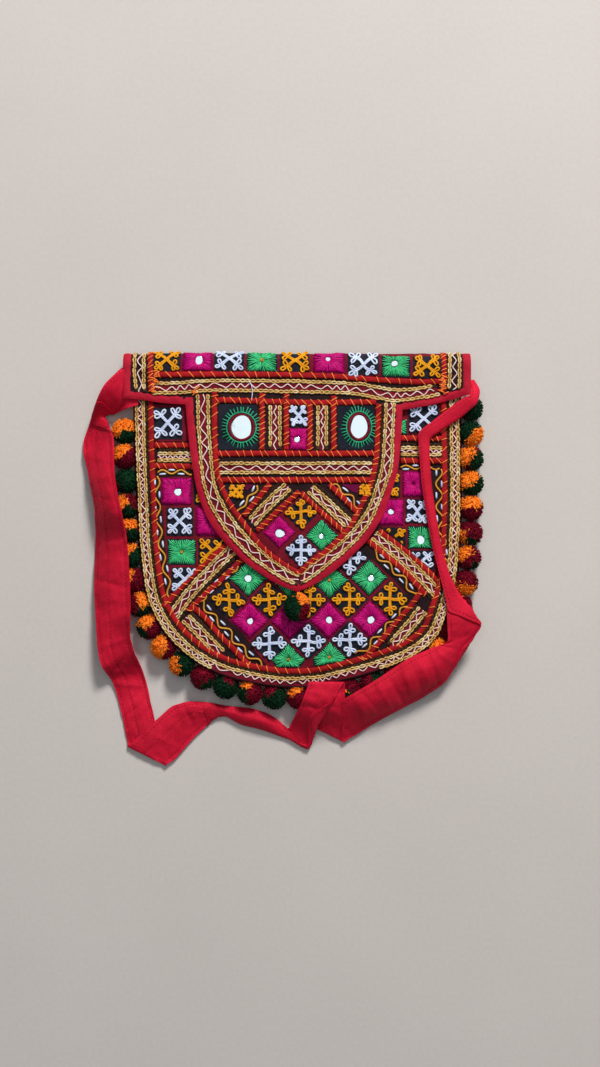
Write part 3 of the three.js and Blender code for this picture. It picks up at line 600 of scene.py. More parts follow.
# Strap sections, as in its solid: its two edges, across and up, in hundredths of the flap's width, and how high
# the cloth's underside lies at one edge, between and at the other, in hundredths of a pompom's height, over
# the floor or over the front
STRAP = [
    (-46.0, 43.7, -45.4, 33.3, "front", 2, 2, 2), (-50.3, 44.0, -49.1, 32.2, "front", 4, 4, 5),
    (-55.2, 39.1, -53.4, 30.7, "floor", 84, 52, 16), (-57.5, 34.5, -55.5, 30.5, "floor", 74, 46, 16),
    (-59.2, 31.0, -56.3, 29.9, "floor", 34, 30, 26), (-60.6, 27.3, -54.6, 28.4, "floor", 2, 24, 58),
    (-62.4, 22.7, -52.9, 23.8, "floor", 2, 38, 84), (-62.1, 19.3, -52.6, 18.7, "floor", 2, 50, 98),
    (-60.6, 14.1, -52.3, 13.8, "floor", 2, 60, 102), (-59.5, 8.9, -51.4, 8.6, "floor", 2, 72, 106),
    (-58.3, 3.4, -50.0, 2.9, "floor", 2, 76, 108), (-58.5, -2.9, -49.1, -3.4, "floor", 2, 72, 108),
    (-58.8, -11.5, -48.3, -11.5, "floor", 2, 72, 108), (-58.8, -20.1, -47.8, -20.1, "floor", 10, 64, 106),
    (-58.2, -28.2, -47.7, -27.6, "floor", 8, 54, 90), (-57.3, -38.8, -48.0, -33.3, "floor", 2, 16, 40),
    (-56.3, -42.5, -47.0, -37.9, "floor", 2, 4, 14), (-53.7, -47.1, -44.8, -44.5, "floor", 2, 2, 2),
    (-52.0, -52.9, -43.4, -50.0, "floor", 2, 2, 2), (-50.4, -59.8, -42.0, -56.9, "floor", 2, 2, 2),
    (-49.3, -65.6, -38.6, -70.8, "floor", 2, 2, 2), (-49.7, -66.4, -38.4, -72.0, "floor", 7, 7, 7),
    (-48.8, -65.6, -38.2, -71.3, "floor", 13, 13, 12), (-45.4, -62.4, -35.6, -69.8, "floor", 13, 12, 4),
    (-41.4, -58.6, -33.0, -66.7, "floor", 13, 6, 2), (-36.5, -54.2, -29.3, -62.6, "floor", 12, 8, 2),
    (-31.9, -52.9, -25.3, -59.2, "floor", 22, 14, 2), (-26.1, -53.2, -23.0, -57.2, "floor", 12, 8, 2),
    (-21.0, -54.3, -20.7, -56.9, "floor", 4, 4, 4), (-14.1, -54.9, -16.4, -59.5, "floor", 6, 8, 2),
    (-8.9, -56.3, -10.6, -60.8, "floor", 8, 10, 2), (-4.9, -58.8, -2.0, -63.9, "floor", 2, 2, 2),
    (-2.6, -61.2, 3.4, -67.2, "floor", 7, 9, 7), (-1.6, -59.0, 4.4, -64.6, "floor", 22, 20, 18),
    (0.2, -55.0, 6.4, -58.6, "floor", 74, 74, 62), (1.6, -51.6, 10.2, -52.1, "floor", 118, 118, 118),
    (3.4, -46.8, 13.2, -46.8, "floor", 118, 118, 118), (3.5, -46.0, 13.4, -46.0, "floor", 112, 112, 112),
    (3.4, -46.8, 13.8, -46.9, "floor", 105, 105, 105), (3.7, -51.2, 13.8, -51.5, "floor", 105, 105, 105),
    (4.2, -54.7, 13.8, -55.7, "floor", 76, 78, 80), (5.6, -60.3, 13.2, -64.0, "floor", 2, 2, 2),
    (5.3, -61.1, 13.2, -65.0, "floor", 8, 8, 8), (6.3, -60.1, 14.0, -64.4, "floor", 14, 14, 12),
    (9.5, -55.9, 17.0, -62.6, "floor", 62, 42, 6), (13.8, -51.1, 21.8, -59.5, "floor", 116, 72, 4),
    (22.7, -46.0, 28.4, -55.7, "floor", 106, 98, 22), (31.9, -39.9, 36.5, -51.4, "floor", 100, 104, 28),
    (38.2, -37.1, 42.8, -47.1, "floor", 102, 108, 50), (42.9, -35.4, 52.2, -31.6, "floor", 104, 106, 96),
    (43.4, -34.6, 53.4, -30.4, "floor", 110, 111, 102), (43.3, -33.0, 52.6, -29.2, "floor", 116, 117, 108),
    (43.2, -29.3, 50.0, -25.0, "floor", 112, 116, 110), (43.1, -24.1, 46.5, -21.3, "front", 11, 11, 14),
    (41.4, -17.2, 43.7, -15.8, "front", 11, 11, 11), (39.1, -8.3, 41.4, -7.8, "front", 11, 11, 11),
    (37.4, 0.9, 39.8, 1.1, "front", 11, 11, 11), (35.9, 10.1, 38.5, 10.1, "front", 11, 11, 11),
    (35.3, 17.8, 37.9, 17.8, "front", 11, 11, 11), (34.8, 25.3, 37.9, 23.6, "front", 11, 11, 11),
    (39.4, 28.7, 42.2, 26.4, "front", 11, 11, 11), (44.5, 32.6, 47.1, 29.7, "front", 16, 16, 18),
    (47.6, 34.9, 49.6, 31.9, "floor", 102, 103, 104),
    (49.7, 35.6, 51.7, 33.6, "floor", 108, 108, 108), (50.4, 37.4, 52.6, 37.4, "floor", 92, 92, 92),
    (49.4, 40.2, 51.0, 40.8, "floor", 46, 46, 46),
]
STRAP_WIDTH = 36
STRAP_THICK = 1.5


def strap_sections():
    """The strap's underside at each section: one edge, the middle and the other edge."""
    sections = []
    for ax, ay, bx, by, over, *rise in STRAP:
        ends = np.array([[ax, ay], [bx, by]]) * FLAP_WIDTH / 100
        row = []
        for k, amount in enumerate(rise):
            x, y = ends[0] + (ends[1] - ends[0]) * k / 2
            base = float(front_top(np.array(x), np.array(y))) if over == "front" else 0
            row.append((x, y, base + amount * POMPOM_TOP / 100))
        sections.append(row)
    return np.array(sections)


# How the cloth arches and folds along the way: section, reach before and after it along the strap, height and
# where the ridge runs across it, from 0 to 1, or None for an arch of the whole width
BENDS = [
    (2.1, 22, 16, 11, 0.07), (6.6, 12, 20, -2.0, 0.3), (8.4, 22, 26, 2.4, 0.62), (10.0, 45, 18, 12.0, None),
    (15.8, 54, 13, 15.0, None), (12.6, 26, 26, 2.0, 0.4), (19.0, 22, 22, 2.4, 0.6), (24.2, 30, 26, 3.4, 0.42),
    (26.6, 22, 22, 3.0, 0.2), (29.6, 26, 22, 4.2, 0.45), (34.3, 10, 10, 1.6, 0.5), (39.8, 12, 12, 2.2, 0.35),
    (45.2, 22, 22, 2.2, 0.5), (47.4, 28, 28, 2.6, 0.35), (51.5, 10, 10, 2.2, 0.6), (56.5, 60, 60, 1.3, 0.4),
    (61.5, 24, 24, 1.4, 0.3),
]

# Pressed creases across the strap: section, height and slant
CREASES = [
    (7.3, 0.5, 6), (8.4, 0.6, -9), (9.5, -0.7, 6), (10.6, 0.5, 9), (11.3, -0.7, -6), (12.0, 0.5, 4), (12.8, -0.8, 8),
    (13.4, 0.6, -5), (14.9, 0.6, 5), (16.2, -0.9, -14), (16.6, 0.8, 9), (17.4, 0.7, 12), (18.5, -0.6, -8),
    (23.6, 0.6, 8), (25.4, -0.7, -8), (26.9, 0.6, 6), (30.4, 0.6, -8), (34.6, -0.7, 4), (35.4, 0.6, -4),
    (39.5, -0.7, 5), (45.15, 0.8, -4), (45.5, -0.9, 2), (45.95, 1.0, -2), (46.35, -1.0, 2), (46.75, 1.0, -3),
    (47.05, -1.0, 2), (47.4, 0.9, 2), (47.8, -1.0, -3), (48.3, 0.8, 3), (48.6, -0.8, -2), (52.6, 0.6, 3),
    (58.4, 0.4, 2), (62.2, -0.4, -1),
]

STRAP_STEP = 1.6
sections = strap_sections()
run = np.concatenate([[0], np.cumsum(np.linalg.norm(np.diff(sections.mean(axis=1), axis=0), axis=1))])
strap_length = run[-1]
at = np.linspace(0, strap_length, int(strap_length / STRAP_STEP))
rows = np.stack([[np.interp(at, run, sections[:, j, k]) for k in range(3)] for j in range(3)], axis=0).transpose(2, 0, 1)
soft = np.array([1, 2, 3, 4, 3, 2, 1]) / 16
padded_rows = np.concatenate([rows[:1]] * 3 + [rows] + [rows[-1:]] * 3)
rows = sum(weight * padded_rows[k : k + len(rows)] for k, weight in enumerate(soft))

STRAP_COLUMNS = 31
u = np.linspace(0, 1, STRAP_COLUMNS)
width = np.linalg.norm(rows[:, 1] - rows[:, 0], axis=1) + np.linalg.norm(rows[:, 2] - rows[:, 1], axis=1)
ratio = np.clip(STRAP_WIDTH / width, 1, 2)
past_turn = step_between(*np.interp([50, 51.5], np.arange(len(sections)), run), at)
layers = 1 + (ratio - 1) * np.maximum(step_between(1.25, 1.8, ratio), past_turn)
spread = np.exp(-(np.linspace(-1.8, 1.8, 11) ** 2))
layers = np.convolve(np.pad(layers, 5, mode="edge"), spread / spread.sum(), "valid")
turns = u[None, :] * layers[:, None]
part = np.abs((turns + 1) % 2 - 1)
lift = step_between(0.86, 1.14, turns) * 1.02
t = part[..., None]
middle = rows[:, None, 0] * (1 - t) * (1 - 2 * t) + rows[:, None, 1] * 4 * t * (1 - t) + rows[:, None, 2] * t * (2 * t - 1)
numbers = np.arange(len(sections))
bend = np.zeros_like(part)
for section, before, after, height, ridge in BENDS:
    away = at - np.interp(section, numbers, run)
    away = away / np.where(away < 0, before, after)
    tent = 1 if ridge is None else np.minimum(part / ridge, (1 - part) / (1 - ridge))
    bend += height * np.exp(-(away**2))[:, None] * (1 if ridge is None else tent * (1.6 - 0.6 * tent))
single = step_between(1.7, 1.2, layers)[:, None]
for section, height, slant in CREASES:
    away = np.abs(at[:, None] - np.interp(section, numbers, run) - slant * (part - 0.5)) / 2.2
    bend += 1.2 * height * np.exp(-(away**1.3)) * single * np.sin(np.pi * np.clip(part, 0.04, 0.96)) ** 0.5
along = at[:, None] + 0 * u[None, :]
crease = 0.5 * ripple(along, u[None, :] * 16, 24, 71) + 0.17 * ripple(along, u[None, :] * 30, 9, 72)
crease = crease * (0.3 + 0.7 * single)
hem = -0.3 * (np.exp(-(((part - 0.09) / 0.03) ** 2)) + np.exp(-(((part - 0.91) / 0.03) ** 2)))
# The strip's own seam shows between its sections 5 and 29, off the middle
seam_rows = (at > run[5]) & (at < run[29])
hem -= 0.4 * np.exp(-(((part - 0.4) / 0.03) ** 2)) * seam_rows[:, None]
depth = STRAP_THICK * (0.62 + lift) + bend + crease + hem * single + 0.3
middle = middle + np.array([0, 0, 1.0]) * depth[..., None]
middle[..., 2] = np.maximum(middle[..., 2], STRAP_THICK / 2 + 0.05)
heap = Heap()
ribbon(heap, middle, STRAP_THICK)
strap = heap.make("strap_cloth", [CRIMSON], "strap_cloth", ["strap"], smooth_angle=70)
heap = Heap()
upward = np.cross(np.gradient(middle, axis=0), np.gradient(middle, axis=1))
upward /= np.maximum(np.linalg.norm(upward, axis=2, keepdims=True), 1e-9)
upward *= np.where(upward[..., 2:] < 0, -1, 1)
all_rows = at >= 0
for column, kept in ((3, all_rows), (12, seam_rows), (STRAP_COLUMNS - 4, all_rows)):
    facing_out = upward[kept, column]
    path = middle[kept, column] + facing_out * (STRAP_THICK / 2 + 0.02)
    run_along = lengths(path)
    starts = np.arange(4, run_along[-1] - 4, 3.4)
    places = starts[:, None] + np.linspace(0, 2.5, 4)[None, :]
    course = np.stack([np.interp(places, run_along, path[:, k]) for k in range(3)], axis=-1)
    facing_up = np.stack([np.interp(places, run_along, facing_out[:, k]) for k in range(3)], axis=-1)
    course += facing_up * np.array([-0.25, 0.1, 0.1, -0.25])[None, :, None]
    heap.tubes(course, facing_up, 0.24, 0, 4)
heap.make("strap_hem_stitches", [HEMMING], "strap_cloth")

# Pompoms: three colours of cut yarn. For each, seen from above, the colour that fills it, then caps of other
# colours by their direction in degrees, 0 to the right and 90 up, and how much of the ball they leave
G, O, M = 0, 1, 2
POMPOMS = [
    (G, (O, 145, 0.42), (O, 62, 0.55)), (M, (O, 130, 0.42)), (G, (M, 200, 0.88)), (G, (O, 140, 0.35), (M, 40, 0.7)),
    (M, (O, 90, 0.45), (G, 270, 0.2)), (G, (O, 120, 0.5)), (M, (O, 150, 0.55)), (G, (O, 90, 0.2), (M, 180, 0.4)),
    (M, (O, 125, 0.4), (G, 215, 0.7)), (M, (O, 170, 0.12)), (G, (O, 190, 0.55)), (M, (G, 300, 0.75)), (G, (M, 60, 0.8)),
    (M, (O, 110, 0.75), (G, 200, 0.6)), (G, (M, 120, 0.7)), (M, (O, 120, 0.7)), (G, (O, 60, 0.85)),
    (G, (O, 140, 0.45), (M, 70, 0.4)), (M, (G, 20, 0.5)), (G, (M, 150, 0.5)), (G, (O, 80, 0.6)), (G, (O, 90, 0.3)),
    (M, (G, 0, 0.4)), (M, (O, 150, 0.5)), (M, (O, 262, 0.5)), (M, (O, 135, 0.52), (G, 300, 0.85)),
    (M, (G, 270, 0.75), (O, 200, 0.8)), (M, (O, 95, 0.35)), (G, (O, 130, 0.25)), (M, (O, 150, 0.3), (G, 330, 0.4)),
    (G, (O, 320, 0.35)), (G, (M, 200, 0.8)),
]
BALL_RADIUS = 11.7
PILE = [PILE_GREEN, PILE_ORANGE, PILE_MAROON]


def even_directions(count):
    k = np.arange(count) + 0.5
    z = 1 - 2 * k / count
    turn = np.pi * (1 + 5**0.5) * k
    flat = np.sqrt(1 - z * z)
    return np.column_stack([flat * np.cos(turn), flat * np.sin(turn), z])


def yarn_ball(heap, centre, radius, caps, rng, fibres, squash=(1, 1, 1)):
    """A dark core with cut yarn ends standing out of it, coloured by their direction."""
    centre, squash = np.array(centre), np.array(squash, dtype=float)
    fill, *parts = caps

    def kind_of(direction):
        found = np.full(len(direction), fill)
        for colour, degrees, cut in parts:
            turn = math.radians(degrees)
            toward = np.array([math.cos(turn), math.sin(turn), 0.45]) / math.hypot(1, 0.45)
            found[direction @ toward + 0.06 * np.sin(direction @ np.array([7.0, 9.0, 5.0]) * 2.1) > cut] = colour
        return found

    def reach_of(direction, kinds):
        lumps = 0.035 * np.sin(direction @ np.array([5.0, -3.0, 4.0]) * 1.3 + centre[0]) * np.sin(direction @ np.array([-2.0, 6.0, 3.0]))
        return 0.955 + lumps + 0.03 * (kinds == O)

    rows, columns = 9, 14
    lat = np.linspace(0.12, math.pi - 0.12, rows)
    lon = np.linspace(0, 2 * math.pi, columns, endpoint=False)
    ball = np.array([[math.sin(a) * math.cos(b), math.sin(a) * math.sin(b), math.cos(a)] for a in lat for b in lon])
    core = centre + ball * squash * (radius * 0.84 * reach_of(ball, kind_of(ball)))[:, None]
    index = np.arange(rows * columns).reshape(rows, columns)
    for i in range(rows - 1):
        for j in range(columns):
            k = (j + 1) % columns
            face = [index[i, j], index[i + 1, j], index[i + 1, k], index[i, k]]
            heap.add(np.zeros((0, 3)), [], 0)
            heap.faces.append([int(v) + heap.count for v in face])
            heap.kinds.append(int(kind_of(ball[face].mean(axis=0)[None])[0]))
    heap.faces += [(index[0] + heap.count).tolist(), (index[-1][::-1] + heap.count).tolist()]
    heap.kinds += [fill, fill]
    heap.points.append(core)
    heap.count += len(core)

    direction = even_directions(fibres) + rng.normal(0, 0.05, (fibres, 3))
    direction /= np.linalg.norm(direction, axis=1, keepdims=True)
    kinds = kind_of(direction)
    reach = radius * reach_of(direction, kinds) * rng.uniform(0.95, 1.035, fibres)
    lean = np.cross(direction, rng.normal(0, 1, (fibres, 3))) * 0.16
    foot = centre + direction * squash * (radius * 0.72)
    tip = centre + (direction + lean) / np.linalg.norm(direction + lean, axis=1, keepdims=True) * squash * reach[:, None]
    side = np.cross(direction, [0.3, 0.5, 0.8])
    side /= np.linalg.norm(side, axis=1, keepdims=True)
    other = np.cross(direction, side)
    turn = rng.uniform(0, 2 * math.pi, fibres)
    thick = rng.uniform(0.42, 0.62, fibres)
    for k in range(3):
        angle = turn + k * 2 * math.pi / 3
        spoke = (side * np.cos(angle)[:, None] + other * np.sin(angle)[:, None]) * thick[:, None]
        if k == 0:
            feet, tips = [foot + spoke * 0.8], [tip + spoke]
        else:
            feet.append(foot + spoke * 0.8)
            tips.append(tip + spoke)
    points = np.stack(feet + tips, axis=1).reshape(-1, 3)
    points[:, 2] = np.maximum(points[:, 2], 0.1)
    for k in range(fibres):
        base = heap.count + 6 * k
        for j in range(3):
            n = (j + 1) % 3
            heap.faces.append([base + j, base + n, base + 3 + n, base + 3 + j])
        heap.faces.append([base + 3, base + 4, base + 5])
        heap.faces.append([base + 2, base + 1, base])
        heap.kinds += [int(kinds[k])] * 5
    heap.points.append(points)
    heap.count += len(points)


FIBRES = 560
BALL_SHIFT = 1.6
rng = np.random.default_rng(301)
heaps = [Heap(), Heap()]
for k, caps in enumerate(POMPOMS):
    low, high = (np.array(corner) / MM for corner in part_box(f"pompom_{k + 1:02d}"))
    centre = (low + high) / 2
    inward = np.array([-centre[0], -centre[1], 0]) / math.hypot(centre[0], centre[1])
    yarn_ball(heaps[k // 16], centre + inward * BALL_SHIFT, BALL_RADIUS, caps, rng, FIBRES, (1, 1, 0.87))
names = [f"pompom_{k + 1:02d}" for k in range(32)]
heaps[0].make("left_pompom_pile", PILE, "pompom_yarn", names[:16])
heaps[1].make("right_pompom_pile", PILE, "pompom_yarn", names[16:])

low, high = (np.array(corner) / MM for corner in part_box("flap_tassel"))
heap = Heap()
size = (high - low) / 2
yarn_ball(heap, (low + high) / 2, 1.0, (G, (O, 40, 0.72), (M, 332, 0.7)), rng, 900, size * 1.04)
heap.make("tip_tassel_pile", PILE, "pompom_yarn", ["flap_tassel"])


# Embroidery. A stitcher lays it all on one surface, the front or the flap, from places in the photograph.

class Stitcher:
    def __init__(self, place, unrolled, seed, mirrors):
        self.place = place
        self.unrolled = unrolled
        self.rng = np.random.default_rng(seed)
        self.cloth, self.cords, self.braids, self.threads, self.fills = (Heap() for _ in range(5))
        self.mirrors = []
        for node in mirrors:
            low, high = (np.array(corner[:2]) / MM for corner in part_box(node))
            middle = (low + high) / 2
            self.mirrors.append((unroll([middle])[0] if unrolled else middle, (high - low)[0] / 2))

    def line(self, points, step=1.2, bend=True):
        """A course through the photograph's points, in millimetres on the pattern."""
        course = px(points)
        if self.unrolled:
            course = unroll(course)
        return smooth(course, step) if bend else resample(course, step)

    def thread(self, heap, line, height, radius, kind, sides=5, flat=1.0, clip=None):
        line = np.column_stack([line, np.broadcast_to(height, (len(line),))])
        for stretch in runs_inside(line, clip):
            x, y, above = stretch.T
            heap.tube(self.place(x, y, above), facing(self.place, x, y), radius, kind, sides, flat)

    def patch(self, outline, height, kind, step=4.0, low=-0.3):
        slab(self.cloth, outline, self.place, low, height, step, kind)

    def piping(self, points, pitch=9.0, width=5.0, slant=2.2, bend=True, height=0.0, line=None):
        """A raised strip of folded cloth, held down by slanting orange stitches."""
        line = self.line(points, 1.3, bend) if line is None else line
        run = lengths(line)
        pitch = pitch * PIXEL
        places = np.arange(pitch * self.rng.uniform(0.3, 0.6), run[-1], pitch)
        places = places + self.rng.normal(0, pitch * 0.09, len(places))
        pinch = sum((np.exp(-(((run - at) / 1.5) ** 2)) for at in places), 0 * run)
        radius = width / 2 * (1 - 0.09 * np.minimum(pinch, 1)) * (1 + 0.05 * np.sin(run / 7 + self.rng.uniform(0, 6)))
        x, y = line.T
        self.cords.tube(self.place(x, y, 0.72 + height), facing(self.place, x, y), radius, 0, 9, 0.42)
        side = leftward(line)
        share = np.linspace(-1, 1, 7)
        lean = -slant * self.rng.uniform(0.35, 1.3, len(places))
        at = places[:, None] + share[None, :] * lean[:, None]
        reach = width * 0.58 * self.rng.uniform(0.88, 1.08, len(places))
        course = [
            np.interp(at, run, line[:, k]) + np.interp(places, run, side[:, k])[:, None] * share * reach[:, None]
            for k in (0, 1)
        ]
        rise = 0.35 + height + 1.62 * np.sqrt(1 - (share * 0.96) ** 2)
        rise[[0, -1]] = height - 0.1
        radius = np.broadcast_to(self.rng.uniform(0.36, 0.5, len(places))[:, None], at.shape)
        self.cords.tubes(self.place(*course, rise + 0 * at), facing(self.place, *course), radius, 1, 5, 0.8)

    def chain(self, points=None, line=None, width=3.5, link=4.7, kind=0, radius=0.68, height=0.75, sides=5):
        """Chain stitch: a row of loops, each of two bowed threads about a dark eye."""
        line = self.line(points) if line is None else resample(line, 1.2)
        run = lengths(line)
        side = leftward(line)
        starts = np.arange(0, run[-1] - link * 0.8, link * 0.93)
        starts = starts + self.rng.normal(0, link * 0.05, len(starts))
        share = np.array([-0.04, 0.22, 0.5, 0.8, 1.06])
        long = link * self.rng.uniform(0.92, 1.08, len(starts))
        at = starts[:, None] + share[None, :] * long[:, None]
        bow = np.array([0.25, 0.85, 1.0, 0.7, 0.12])
        shift = self.rng.normal(0, 0.16, len(starts))
        worn = ripple(starts, 0 * starts, 16, int(self.rng.integers(1, 9999)), 4) > 0.45
        for way in (-1, 1):
            size = (width / 2 - radius) * self.rng.uniform(0.82, 1.12, len(starts))
            away = way * bow[None, :] * size[:, None] + shift[:, None]
            course = [np.interp(at, run, line[:, k]) + np.interp(at, run, side[:, k]) * away for k in (0, 1)]
            rise = height + np.array([-0.35, 0.1, 0.28, 0.2, 0.05]) + self.rng.normal(0, 0.06, (len(starts), 1))
            thick = radius * np.array([0.7, 1.0, 1.1, 1.0, 0.75]) * self.rng.uniform(0.9, 1.12, (len(starts), 1))
            for some, colour in ((~worn, kind), (worn, 2 if kind == 0 else kind)):
                x, y = course[0][some], course[1][some]
                if len(x):
                    self.braids.tubes(self.place(x, y, rise[some]), facing(self.place, x, y), thick[some], colour, sides, 0.85)

    def braid(self, points=None, line=None):
        """A heavy gold chain stitch over a flat dark brown strip, which is painted shade in the chain's eyes and
        crevices.
        """
        line = self.line(points) if line is None else line
        x, y = line.T
        # Painted shade: a flat dark brown strip under the chain darkens its eyes and edges
        self.braids.tube(self.place(x, y, 0.25), facing(self.place, x, y), 1.9, 1, 6, 0.18)
        self.chain(line=line)

    def shade(self, points=None, line=None):
        """A row of dark chain stitch."""
        self.chain(points, line, 2.6, 3.6, 1, 0.5, 0.5, 4)

    def zigzag(self, points=None, line=None, swing=2.1, period=14.0, round_off=0.35, radius=0.52, clip=None):
        """A white thread that swings from side to side between two braids."""
        line = self.line(points, 0.8) if line is None else resample(line, 0.8)
        run = lengths(line)
        stretch = np.cumsum(np.full(len(run), 0.8) * (1 + 0.35 * ripple(run, 0 * run, 30, int(self.rng.integers(1, 9999)), 4)))
        turn = 2 * np.pi * stretch / (period * PIXEL)
        wave = (1 - round_off) * 2 / np.pi * np.arcsin(np.sin(turn)) + round_off * np.sin(turn)
        size = swing * PIXEL * (1 + 0.25 * ripple(run, 0 * run, 12, int(self.rng.integers(1, 9999)), 4))
        self.thread(self.threads, beside(line, wave * size), 0.8, radius, 4, 5, clip=clip)

    def wave(self, points, swing=2.6, period=25.0, dash=6.6, start=0.0, clip=None):
        """A tan line in soft waves, with a white running stitch in each bay."""
        line = self.line(points, 0.9)
        run = lengths(line)
        turn = 2 * np.pi * (run / (period * PIXEL) + start)
        self.thread(self.threads, beside(line, swing * PIXEL * np.sin(turn)), 0.65, 0.8, 2, 5, clip=clip)
        bay = period * PIXEL / 2
        for k in range(int(run[-1] / bay)):
            at = (k + 0.5 - 2 * start) * bay
            half = dash * PIXEL / 2
            if not half < at < run[-1] - half:
                continue
            shares = np.linspace(at - half, at + half, 6)
            way = -np.sign(np.sin(2 * np.pi * (at / (period * PIXEL) + start)))
            centre = np.column_stack([np.interp(shares, run, line[:, j]) for j in (0, 1)])
            course = centre + leftward(centre) * way * swing * PIXEL * 0.85
            height = np.array([-0.1, 0.55, 0.75, 0.75, 0.55, -0.1])
            self.thread(self.threads, course, height, 0.85 * np.array([0.7, 1, 1.1, 1.1, 1, 0.7]), 0, 6, clip=clip)

    def band(self, points, gap=8.4, ground=True, period=14.0, swing=2.1, bend=True, round_off=0.35, edges=True):
        """Two braids on a maroon ground, with a white thread swinging between them."""
        line = self.line(points, 1.2, bend)
        half = gap * PIXEL / 2
        if ground:
            self.patch(np.vstack([beside(line, half), beside(line, -half)[::-1]]), 0.25, 1)
        self.braid(line=beside(line, half))
        self.braid(line=beside(line, -half))
        if edges:
            self.shade(line=beside(line, half + 3.1))
            self.shade(line=beside(line, -half - 3.1))
        self.zigzag(line=line, swing=swing, period=period, round_off=round_off)

    def cell(self, corners, kind, clip=None, height=0.45):
        """A square or diamond of the pattern, from its four corners on the pattern."""
        corners = np.array(corners, dtype=float)
        ground = {"white": 0, "yellow": 0, "magenta": 2, "green": 0}[kind]
        outline = corners if clip is None else clip_polygon(corners, clip)
        if len(outline) < 3:
            return
        self.patch(outline, height, ground, 4.0, 0.0)
        if kind in ("white", "yellow"):
            self.knot(corners, 0 if kind == "white" else 1, clip, height)
            return
        centre, hole = corners.mean(axis=0), 1.1
        for place, radius in self.mirrors:
            if inside([place], corners)[0]:
                centre, hole = place, radius * 0.76
        self.satin(corners, centre, kind, hole, clip, height)
        if hole < 1.2 and kind == "green":
            turn = np.linspace(0, 2 * math.pi, 9)
            knot = centre + 0.85 * np.column_stack([np.cos(turn), np.sin(turn)])
            self.thread(self.threads, knot, height + 1.1, 0.55, 2, 5, clip=clip)

    def knot(self, corners, kind, clip, height):
        """A cross whose arms end in three looped leaves each."""
        rng = self.rng
        middle = corners.mean(axis=0) + rng.normal(0, 0.35, 2)
        for corner in corners:
            arm = (corner - middle) * rng.uniform(0.9, 0.98)
            long = np.linalg.norm(arm)
            way = arm / long
            side = np.array([-way[1], way[0]])
            bow = rng.normal(0, 0.5)
            share = np.linspace(-0.06, 0.6, 7)
            for shift in (-0.64, 0.64):
                lateral = shift * (1 - 0.15 * np.sin(share * 9)) + bow * np.sin(share * 5)
                course = middle + way * (share * long)[:, None] + side * lateral[:, None]
                self.thread(self.threads, course, height + 0.8, 0.82, kind, 5, clip=clip)
            for turn, foot, size in ((0, 0.6, 0.95), (1.35, 0.5, 1.0), (-1.35, 0.5, 1.0)):
                turn += rng.normal(0, 0.26)
                leaf = way * math.cos(turn) + side * math.sin(turn)
                across = np.array([-leaf[1], leaf[0]])
                reach = long * 0.33 * size * rng.uniform(0.88, 1.12)
                root = middle + way * long * foot + side * bow * 0.6
                loop = np.linspace(0, 2 * math.pi, 10)
                far = (1 - np.cos(loop)) / 2
                wide = long * rng.uniform(0.082, 0.118) * np.sin(loop) * (0.5 + 0.6 * far)
                course = root + leaf * (far * reach)[:, None] + across * wide[:, None]
                self.thread(self.threads, course, height + 0.75 + 0.4 * far, 0.86, kind, 5, clip=clip)

    def satin(self, corners, centre, kind, hole, clip, height):
        """Straight stitches from a round middle out to the edge of the cell."""
        rng = self.rng
        tone_kind, gap, thick = {"magenta": (0, 1.5, 0.72), "green": (1, 2.15, 0.66)}[kind]
        edge = resample(np.vstack([corners, corners[:1]]), gap)[:-1]
        count = len(edge)
        way = edge - centre
        long = np.linalg.norm(way, axis=1)
        way = way / long[:, None]
        odd = np.arange(count) % 2
        tip = long * rng.uniform(0.9, 1.0, count) - 0.4
        start = np.where(odd, hole * rng.uniform(1.0, 1.2, count), np.maximum(hole, long * rng.uniform(0.2, 0.34, count)))
        share = np.linspace(0, 1, 5)
        away = start[:, None] + (tip - start)[:, None] * share
        twist = rng.normal(0, 0.25, (count, 1)) * np.sin(np.pi * share)
        side = np.column_stack([-way[:, 1], way[:, 0]])
        course = centre + way[:, None, :] * away[..., None] + side[:, None, :] * twist[..., None]
        crown = height + 0.3 + (0.6 - 0.3 * odd)[:, None] * np.sin(np.pi * (0.12 + 0.78 * share))
        crown[:, 0] = height + 0.15
        width = thick * np.array([0.6, 0.9, 1.0, 0.95, 0.7]) * rng.uniform(0.8, 1.15, (count, 1))
        fine = tip - start > 1.2
        if clip is not None:
            fine &= inside(course[:, -1], clip) & inside(course[:, 2], clip)
        course, crown, width = course[fine], crown[fine], width[fine]
        x, y = course[..., 0], course[..., 1]
        self.fills.tubes(self.place(x, y, crown), facing(self.place, x, y), width, tone_kind, 4, 0.75)

    def finish(self, name, cord_nodes):
        self.cloth.make(f"{name}_grounds", [BLACK, MAROON, DEEP], "embroidered_cloth", smooth_angle=40)
        self.cords.make(f"{name}_cords", [PIPING, ORANGE], "piping", cord_nodes)
        self.braids.make(f"{name}_braids", [GOLD, DARK_THREAD_AND_SHADE, CREAM], "embroidered_cloth")
        self.threads.make(f"{name}_threads", [WHITE, YELLOW, TAN, ORANGE, PALE], "embroidered_cloth")
        self.fills.make(f"{name}_fills", [MAGENTA, GREEN, SPIKE, MAROON], "embroidered_cloth")


